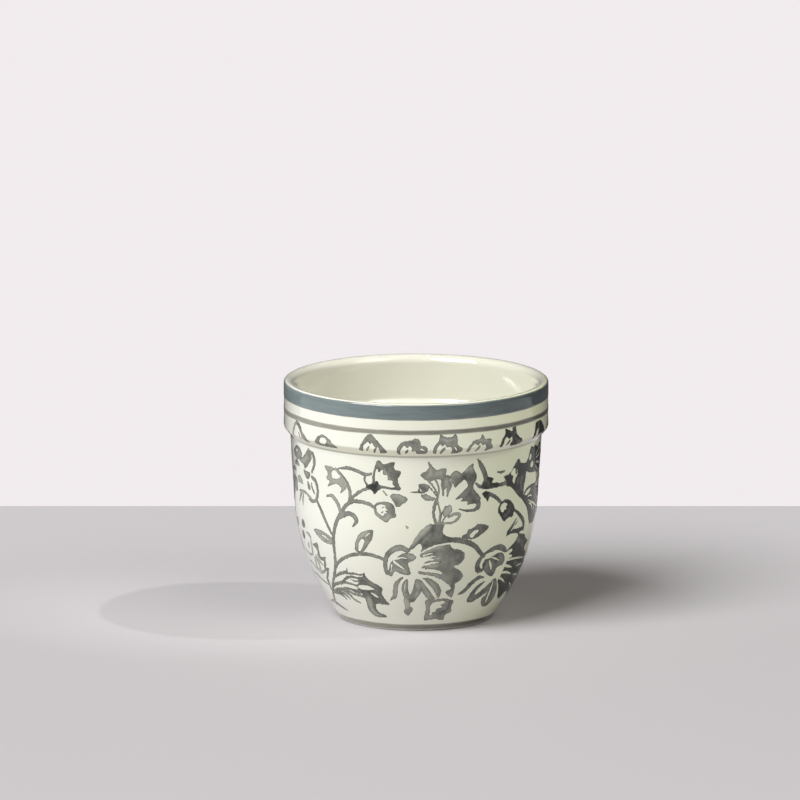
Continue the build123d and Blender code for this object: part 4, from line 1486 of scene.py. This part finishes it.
@dataclass(frozen=True)
class IvoryGlaze(Finish):
    """Glossy ivory glaze: a dark line in the crease of pooled glaze and painted shade, painted light on the
    collar's downward-facing step and on the left side, and painted shade that greens the right side."""

    name: str = "ivory_glaze"
    roughness: float = 0.045
    ripple: Ripple = Ripple(70.0, 900.0, 0.04, 0.00012)
    coat: float = 0.8
    ior: float = 1.55
    mottle: Mottle = Mottle((0.80, 0.805, 0.69, 1.0), (0.78, 0.79, 0.655, 1.0), (0.16, 0.11, 0.07, 1.0),
                            26.0, 75.0, 0.035)
    # Painted light that whitens the left side of the outside
    painted_light_colour: Colour = (0.90, 0.91, 0.83, 1.0)
    painted_light_side: Span = (-0.07, -0.005)
    # Painted shade: a greener tint towards the right side of the outside
    shade_green: Colour = (0.79, 0.83, 0.55, 1.0)
    shade_green_side: Span = (0.0, 0.075)
    # Dark line in the crease under the collar: pooled glaze and painted shade
    pooled: Colour = (0.46, 0.47, 0.36, 1.0)
    crease: float = 0.1062
    crease_reach: float = 0.0010
    strongest: float = 0.9
    # Painted light on the collar's downward-facing step, which lies in shade
    step_painted_light: Colour = (0.96, 0.97, 0.76, 1.0)
    step: float = 0.1085
    step_edges: Span = (0.0014, 0.0024)
    # Inside, painted light on the left side and painted shade on the right side
    lining: Colour = (0.80, 0.785, 0.68, 1.0)
    lining_painted_shade: Colour = (0.70, 0.695, 0.59, 1.0)
    lining_shade_side: Span = (-0.05, 0.06)
    inside_edge: float = 0.02

    def outside(self, wiring: Wiring, mottle: NodeSocket) -> NodeSocket:
        """Colour of the glaze on the outside.

        Args:
            wiring: The material's wiring.
            mottle: Output with the glaze's own colour.

        Returns:
            The colour's output.
        """
        along, _, height = wiring.split(wiring.place())
        # Painted light whitens the left side, and painted shade greens the right side
        painted_shade_share = wiring.ramped(along, *self.shade_green_side, 0.0, self.strongest)
        painted_light_share = wiring.ramped(along, *self.painted_light_side, self.strongest, 0.0)
        painted_side_light = wiring.blend(painted_light_share, wiring.blend(painted_shade_share, mottle, self.shade_green), self.painted_light_colour)
        # Painted light on the collar's step
        from_step = wiring.math("ABSOLUTE", wiring.math("SUBTRACT", height, self.step))
        step_painted_light = wiring.blend(wiring.ramped(from_step, *self.step_edges, 1.0, 0.0), painted_side_light, self.step_painted_light)
        # Pooled glaze and painted shade darken the crease
        from_crease = wiring.math("ABSOLUTE", wiring.math("SUBTRACT", height, self.crease))
        pool_and_shade = wiring.ramped(from_crease, 0.0, self.crease_reach, self.strongest, 0.0)
        return wiring.blend(pool_and_shade, step_painted_light, self.pooled)

    def colour(self, effects: SharedEffects, wiring: Wiring) -> NodeSocket:
        """The outside's colour, or the lining's where the surface faces the pot's axis.

        Args:
            effects: The shared groups.
            wiring: The material's wiring.

        Returns:
            The colour's output.
        """
        spot = wiring.add("ShaderNodeTexCoord").outputs
        level = wiring.add("ShaderNodeVectorMath", {0: spot["Object"], 1: (1.0, 1.0, 0.0)},
                           operation="MULTIPLY").outputs[0]
        facing = wiring.add("ShaderNodeVectorMath", {0: level, 1: spot["Normal"]},
                            operation="DOT_PRODUCT").outputs["Value"]
        inside = wiring.ramped(facing, 0.0, self.inside_edge, 1.0, 0.0)
        # Painted light on the lining's left side, painted shade on its right side
        painted_shade_share = wiring.ramped(wiring.split(spot["Object"])[0], *self.lining_shade_side)
        lining = wiring.blend(painted_shade_share, self.lining, self.lining_painted_shade)
        return wiring.blend(inside, self.outside(wiring, self.mottle.colour(effects, wiring)), lining)


@dataclass(frozen=True)
class BareClay(Finish):
    """Unglazed stoneware of the foot ring, pale and matt with fine grain."""

    name: str = "bare_clay"
    roughness: float = 0.78
    ripple: Ripple = Ripple(300.0, 2600.0, 0.7, 0.00006)
    mottle: Mottle = Mottle((0.76, 0.75, 0.70, 1.0), (0.68, 0.66, 0.60, 1.0), (0.30, 0.25, 0.19, 1.0),
                            60.0, 700.0, 0.25)

    def colour(self, effects: SharedEffects, wiring: Wiring) -> NodeSocket:
        """The clay's mottle."""
        return self.mottle.colour(effects, wiring)


@dataclass(frozen=True, kw_only=True)
class BrushedEnamel(Finish):
    """Enamel brushed on the glaze and fired to the same gloss; its edge width is in mm."""

    roughness: float = 0.09
    ripple: Ripple = Ripple(120.0, 1500.0, 0.15, 0.00008)
    coat: float = 0.4
    coat_roughness: float = 0.04
    thin: Colour
    full: Colour
    edge: Colour
    edge_width: float
    streaks: float
    streak_share: float
    stretch: Triple = (1.0, 1.0, 1.0)

    def colour(self, effects: SharedEffects, wiring: Wiring) -> NodeSocket:
        """The wash of the brush.

        Args:
            effects: The shared groups.
            wiring: The material's wiring.

        Returns:
            The colour's output.
        """
        return wiring.group(effects.wash, {
            "Thin": self.thin, "Full": self.full, "Edge": self.edge, "Edge Width": self.edge_width,
            "Streaks": self.streaks, "Stretch": self.stretch, "Streak Share": self.streak_share,
        })


BLUE_GREY = BrushedEnamel(
    name="blue_grey_enamel", thin=(0.25, 0.31, 0.31, 1.0), full=(0.058, 0.08, 0.082, 1.0),
    edge=(0.27, 0.27, 0.26, 1.0), edge_width=1.1, streaks=60.0, streak_share=0.6, stretch=(1.0, 1.0, 9.0),
)
OLIVE_GREY = BrushedEnamel(
    name="olive_grey_enamel", thin=(0.42, 0.41, 0.34, 1.0), full=(0.08, 0.08, 0.06, 1.0),
    edge=(0.48, 0.48, 0.40, 1.0), edge_width=0.8, streaks=80.0, streak_share=0.6, stretch=(1.0, 1.0, 8.0),
)
GREY_WASH = BrushedEnamel(
    name="grey_wash_enamel", thin=(0.53, 0.54, 0.46, 1.0), full=(0.018, 0.023, 0.019, 1.0),
    edge=(0.045, 0.05, 0.038, 1.0), edge_width=0.55, streaks=190.0, streak_share=0.75, coat=0.0,
    roughness=0.13,
)


# Sub-assemblies


@dataclass
class Workbench:
    """What every sub-assembly is made with."""

    outline: Outline
    wrap: OutlineWrap
    effects: SharedEffects

    def deliver(self, piece: Object, slot: str, node: str) -> None:
        """Fixes a finished piece to the pot.

        Args:
            piece: The piece.
            slot: Name of its finish's material slot; not used.
            node: The CAD node that it stands for.
        """
        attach(piece, "root")
        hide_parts(node)
        piece.data.calc_loop_triangles()
        log.info("%s: %d triangles", piece.name, len(piece.data.loop_triangles))


def swollen(depth: np.ndarray, thickness: float, bead: float, edge_share: float = 0.3) -> np.ndarray:
    """Height of enamel that rounds off towards its edge.

    Args:
        depth: Distance of each place from the edge in mm.
        thickness: Height far from the edge in mm.
        bead: Width of the rounding in mm.
        edge_share: Share of the thickness that the edge keeps.

    Returns:
        Height of each place in mm.
    """
    return thickness * (edge_share + (1 - edge_share) * np.sqrt(np.clip(depth / bead, 0, 1)))


@dataclass
class GlazedPot:
    """The glaze as one closed skin, and the clay and underside as the model has them."""

    bench: Workbench
    columns: int = 256
    glaze_thickness: float = 0.38
    bead_width: float = 0.9
    bead_drop: float = 0.3
    back_stride: int = 3

    def skin(self) -> tuple[Sheet, np.ndarray]:
        """The glaze over outside, lip and inside, with its hidden back.

        Returns:
            The sheet in flat x and climb, and the height of each place, all in mm.
        """
        climbs = self.bench.outline.climbs
        back = np.append(climbs[:-1:self.back_stride], climbs[-1])
        rows = np.concatenate([climbs, back[::-1]])
        lifts = np.concatenate([np.zeros(len(climbs)), np.full(len(back), -self.glaze_thickness)])
        half = 180.0 * MM_PER_DEGREE
        across = np.linspace(-half, half, self.columns + 1)
        x, climb = np.meshgrid(across, rows, indexing="ij")
        lift = np.broadcast_to(lifts, x.shape).copy()
        # The wiped lower edge thins to a rounded bead
        near = np.clip(climbs / self.bead_width, 0, 1)
        lift[:, :len(climbs)] -= self.bead_drop * (1 - np.sqrt(1 - (1 - near) ** 2))
        index = np.arange(x.size).reshape(x.shape)
        faces = []
        for row in range(len(rows)):
            # At the floor's middle, front and back have both run out to a point
            if row == len(climbs) - 1:
                continue
            below, above = index[:, row], index[:, (row + 1) % len(rows)]
            corners = (below[:-1], below[1:], above[1:], above[:-1])
            faces.extend(zip(*(one.tolist() for one in corners)))
        flat = np.zeros(x.size)
        return Sheet(np.column_stack([x.ravel(), climb.ravel()]), faces, flat, flat), lift.ravel()

    def build(self) -> None:
        """Builds and dresses the glaze, the clay and the glazed underside."""
        glaze = IvoryGlaze().material(self.bench.effects)
        sheet, lift = self.skin()
        piece = self.bench.wrap.lay("ivory_glaze_skin", sheet, lift, 1, glaze)
        self.bench.deliver(piece, "ivory_glaze", "glaze_coat")
        finishes = {"clay_body": BareClay().material(self.bench.effects), "underside_glaze": glaze}
        for node, material in finishes.items():
            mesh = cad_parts[node].data
            mesh.materials.clear()
            mesh.materials.append(material)
            log.info("%s: finish %s", node, material.name)


@dataclass
class PaintedRing:
    """A ring drawn on the turning wheel, as high and as wide as its node."""

    bench: Workbench
    node: str
    finish: BrushedEnamel
    seed: int
    tone: Tone = MID
    side_swing: float = 0.36
    thickness: float = 0.14
    bead: float = 0.6
    sunk: float = 0.05
    wander: float = 0.12
    wander_waves: tuple[int, ...] = (2, 3, 5, 9, 16, 27, 41)
    wander_fall: float = 0.4
    columns: int = 480
    rows: int = 14

    def build(self) -> None:
        """Builds and dresses the ring, darker towards the right and paler towards the left."""
        half = 180.0 * MM_PER_DEGREE
        across = np.linspace(-half, half, self.columns + 1)
        rng = random.Random(self.seed)
        edges = []
        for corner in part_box(self.node):
            climb = self.bench.outline.climb(corner.z / MM)
            sway = np.zeros(across.shape)
            for waves in self.wander_waves:
                swing = rng.uniform(0.3, 1.0) * self.wander / waves ** self.wander_fall
                sway += swing * np.sin(waves * across / half * math.pi + rng.uniform(0, 2 * math.pi))
            edges.append(climb + sway)
        # Rows crowd towards both edges
        share = (1 - np.cos(np.linspace(0, math.pi, self.rows + 1))) / 2
        climb = edges[0][:, None] + (edges[1] - edges[0])[:, None] * share
        x = np.repeat(across[:, None], self.rows + 1, axis=1)
        depth = np.minimum(climb - climb[:, :1], climb[:, -1:] - climb)
        index = np.arange(x.size).reshape(x.shape)
        corners = (index[:-1, :-1], index[1:, :-1], index[1:, 1:], index[:-1, 1:])
        faces = list(zip(*(one.ravel().tolist() for one in corners)))
        # The tone swings from paler on the left to darker on the right
        tone = self.tone.value + self.side_swing * np.sin(x.ravel() / UNROLLED_RADIUS)
        open_sheet = Sheet(np.column_stack([x.ravel(), climb.ravel()]), faces, depth.ravel(), tone)
        top = swollen(depth.ravel(), self.thickness, self.bead)
        sheet, lift = closed(open_sheet, top, self.sunk, (-half, half))
        finish = self.finish.material(self.bench.effects)
        piece = self.bench.wrap.lay(f"{self.node}_enamel", sheet, lift, 1, finish)
        self.bench.deliver(piece, self.finish.name, self.node)


@dataclass
class PaintedMotifs:
    """Motifs brushed on the pot, repeated round it."""

    bench: Workbench
    easel: Easel
    kinds: dict[str, Motif]
    copies: int = 2
    thickness: float = 0.13
    bead: float = 0.55
    sunk: float = 0.05

    def build(self) -> None:
        """Builds and dresses one piece for each kind of motif."""
        finish = GREY_WASH.material(self.bench.effects)
        half = self.easel.turn / 2 * MM_PER_DEGREE
        for node, flat in self.easel.sheets(self.kinds).items():
            flat.places[:, 1] = self.bench.outline.climb(flat.places[:, 1])
            top = swollen(flat.depth, self.thickness, self.bead)
            sheet, lift = closed(flat, top, self.sunk, (-half, half))
            piece = self.bench.wrap.lay(f"{node}_enamel", sheet, lift, self.copies, finish)
            self.bench.deliver(piece, GREY_WASH.name, node)


def collar_row() -> Motif:
    """Nine small buds, which go along half of the collar.

    Returns:
        Shapes of the row.
    """
    row = [TEARDROP_BUD, TOOTHED_BUD, LOW_DROP_BUD, LOBED_BUD, TWO_EARED_BUD, THREE_LOBED_BUD, DARK_CREST_BUD,
           SQUARE_CREST_BUD, moved(THREE_LOBED_BUD, 55.2)]
    return [shape for bud in row for shape in bud]


def scroll_kinds() -> dict[str, Motif]:
    """Half of the scroll, by kind of motif, the ones painted on top first.

    Returns:
        Shapes for each node of the scroll.
    """
    return {
        "blossoms": GREAT_BLOSSOM + SIDE_BLOSSOM,
        "lilies": LILY + LEFT_LILY + RIGHT_LILY + LILY_BUD,
        "fringed_flowers": TALL_FRINGED_FLOWER + SIDE_FRINGED_FLOWER + LOW_FRINGED_FLOWER,
        "hanging_buds": ROUND_BUD + RIGHT_BUD + DROOPING_BUD,
        "leaves": LEAVES,
        "long_leaves": SERRATED_LEAF + SIDE_SPRIG,
        "stems": STEMS,
    }


# Studio


@dataclass(frozen=True)
class Lamp:
    """A light on a stand: degrees to the right of the camera and above the table, metres and watts."""

    name: str
    azimuth: float
    elevation: float
    distance: float
    aim_height: float
    power: float

    def stand(self, light: bpy.types.Light) -> Object:
        """Sets a light up and aims it over the middle of the pot.

        Args:
            light: The light.

        Returns:
            Its object.
        """
        light.energy = self.power
        turn, rise = math.radians(self.azimuth), math.radians(self.elevation)
        away = self.distance * math.cos(rise)
        lamp = new_object(self.name, light)
        lamp.location = (away * math.sin(turn), -away * math.cos(turn),
                         self.distance * math.sin(rise) + self.aim_height)
        lamp.rotation_euler = (math.pi / 2 - rise, 0.0, turn)
        return lamp


@dataclass(frozen=True)
class Softbox(Lamp):
    """A square soft light."""

    side: float
    colour: Triple

    def build(self) -> None:
        """Makes the light."""
        light = bpy.data.lights.new(self.name, "AREA")
        light.shape = "SQUARE"
        light.size = self.side
        light.color = self.colour
        self.stand(light)


@dataclass(frozen=True)
class Snoot(Lamp):
    """A narrow soft beam into the mouth of the pot, clear of the table and not seen as a highlight."""

    spread: float
    blend: float
    softness: float

    def build(self) -> None:
        """Makes the light."""
        light = bpy.data.lights.new(self.name, "SPOT")
        light.shadow_soft_size = self.softness
        light.spot_size = math.radians(self.spread)
        light.spot_blend = self.blend
        self.stand(light).visible_glossy = False


@dataclass
class Studio:
    """Pale table, plain background, soft lights and the camera."""

    table_far: float = 0.325
    table_near: float = -2.4
    table_half_width: float = 3.0
    table_edge_radius: float = 0.03
    table_edge_steps: int = 10
    table_colour: Colour = (0.565, 0.542, 0.558, 1.0)
    table_dim: Colour = (0.556525, 0.53387, 0.54963, 1.0)
    # Painted light: the paper's colour at the far end, lighter where the lamps reach less
    table_far_painted_light: Colour = (0.615, 0.592, 0.61, 1.0)
    fade: float = 0.45
    table_roughness: float = 0.85
    table_shine: float = 0.2
    background: Colour = (0.885, 0.838, 0.855, 1.0)
    ambient: float = 0.085
    lamps: tuple[Softbox | Snoot, ...] = (
        Softbox("left_softbox", -46.0, 45.0, 12.0, 0.07, 1900.0, 7.0, (1.0, 1.0, 1.0)),
        Softbox("right_softbox", 52.0, 46.0, 12.0, 0.07, 350.0, 6.6, (1.0, 1.0, 0.88)),
        Snoot("mouth_light", 84.0, 52.0, 3.0, 0.13, 330.0, 2.0, 0.3, 0.1),
    )
    camera_place: Triple = (-0.0091226, -6.0, 1.330653)
    camera_pitch: float = 78.634
    lens: float = 485.1

    def paper(self) -> Material:
        """The table's pale paper, with painted light that makes it a little lighter towards its far end.

        Returns:
            The material.
        """
        material, wiring, shader = surface("table_paper")
        place = wiring.place()
        # Painted light lightens the far end of the table
        fade = wiring.ramped(wiring.split(place)[1], self.table_far - self.fade, self.table_far, 0.0, 1.0)
        paper = wiring.blend(wiring.noise(place, 3.0), self.table_colour, self.table_dim)
        wiring.link(wiring.blend(fade, paper, self.table_far_painted_light), shader["Base Color"])
        shader["Roughness"].default_value = self.table_roughness
        shader["Specular IOR Level"].default_value = self.table_shine
        return material

    def table(self) -> None:
        """The table top with a rounded far edge."""
        profile = [(self.table_near, 0.0)]
        radius = self.table_edge_radius
        for step in range(self.table_edge_steps + 1):
            angle = math.radians(90.0 * step / self.table_edge_steps)
            profile.append((self.table_far - radius * (1 - math.sin(angle)), -radius * (1 - math.cos(angle))))
        wide = self.table_half_width
        places = [(side, y, z) for y, z in profile for side in (-wide, wide)]
        faces = [(2 * one, 2 * one + 1, 2 * one + 3, 2 * one + 2) for one in range(len(profile) - 1)]
        mesh = bpy.data.meshes.new("table_top")
        mesh.from_pydata(places, [], faces)
        mesh.shade_smooth()
        mesh.materials.append(self.paper())
        new_object("table_top", mesh)

    def backdrop(self) -> None:
        """A plain pale background that the camera sees, dimmer where it lights the pot."""
        world = bpy.data.worlds.new("pale_background")
        world.use_nodes = True
        bpy.context.scene.world = world
        wiring = Wiring(world.node_tree)
        background = world.node_tree.nodes["Background"].inputs
        background["Color"].default_value = self.background
        seen = wiring.add("ShaderNodeLightPath").outputs["Is Camera Ray"]
        strength = wiring.math("MULTIPLY_ADD", seen, 1.0 - self.ambient, self.ambient)
        wiring.link(strength, background["Strength"])

    def camera(self) -> None:
        """The camera at the photograph's angle."""
        lens = bpy.data.cameras.new("camera")
        lens.lens = self.lens
        lens.sensor_width = 36.0
        lens.clip_start, lens.clip_end = 0.5, 40.0
        camera = new_object("camera", lens)
        camera.location = self.camera_place
        camera.rotation_euler = (math.radians(self.camera_pitch), 0.0, 0.0)
        bpy.context.scene.camera = camera

    def build(self) -> None:
        """Sets up table, background, lights and camera."""
        self.table()
        self.backdrop()
        for lamp in self.lamps:
            lamp.build()
        self.camera()
        bpy.context.scene.view_settings.view_transform = "Standard"


# Room between the easels and the glaze line, the crease and the lip's crest, in mm
SCROLL_ROOM = 1.0
BUDS_ABOVE_CREASE = 1.5
BUDS_BELOW_CREST = 14.0


def main() -> None:
    """Builds the pot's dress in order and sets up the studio."""
    outline = Outline()
    sizes = outline.sizes
    bench = Workbench(outline, OutlineWrap(outline), SharedEffects.build())
    GlazedPot(bench).build()
    rings = {"rim_band": BLUE_GREY, "collar_line": OLIVE_GREY, "foot_line": OLIVE_GREY}
    for seed, (node, finish) in enumerate(rings.items(), 3):
        PaintedRing(bench, node, finish, seed).build()
    scroll = Easel(sizes.glaze_line + SCROLL_ROOM, sizes.crease_height + SCROLL_ROOM)
    PaintedMotifs(bench, scroll, scroll_kinds()).build()
    collar = Easel(sizes.crease_height + BUDS_ABOVE_CREASE, sizes.height - BUDS_BELOW_CREST,
                   cell=0.3, seed=11)
    PaintedMotifs(bench, collar, {"collar_buds": collar_row()}).build()
    outline.remove()
    Studio().build()


if __name__ == "__main__":
    logging.basicConfig(level=logging.INFO, format="%(name)s %(message)s")
    main()
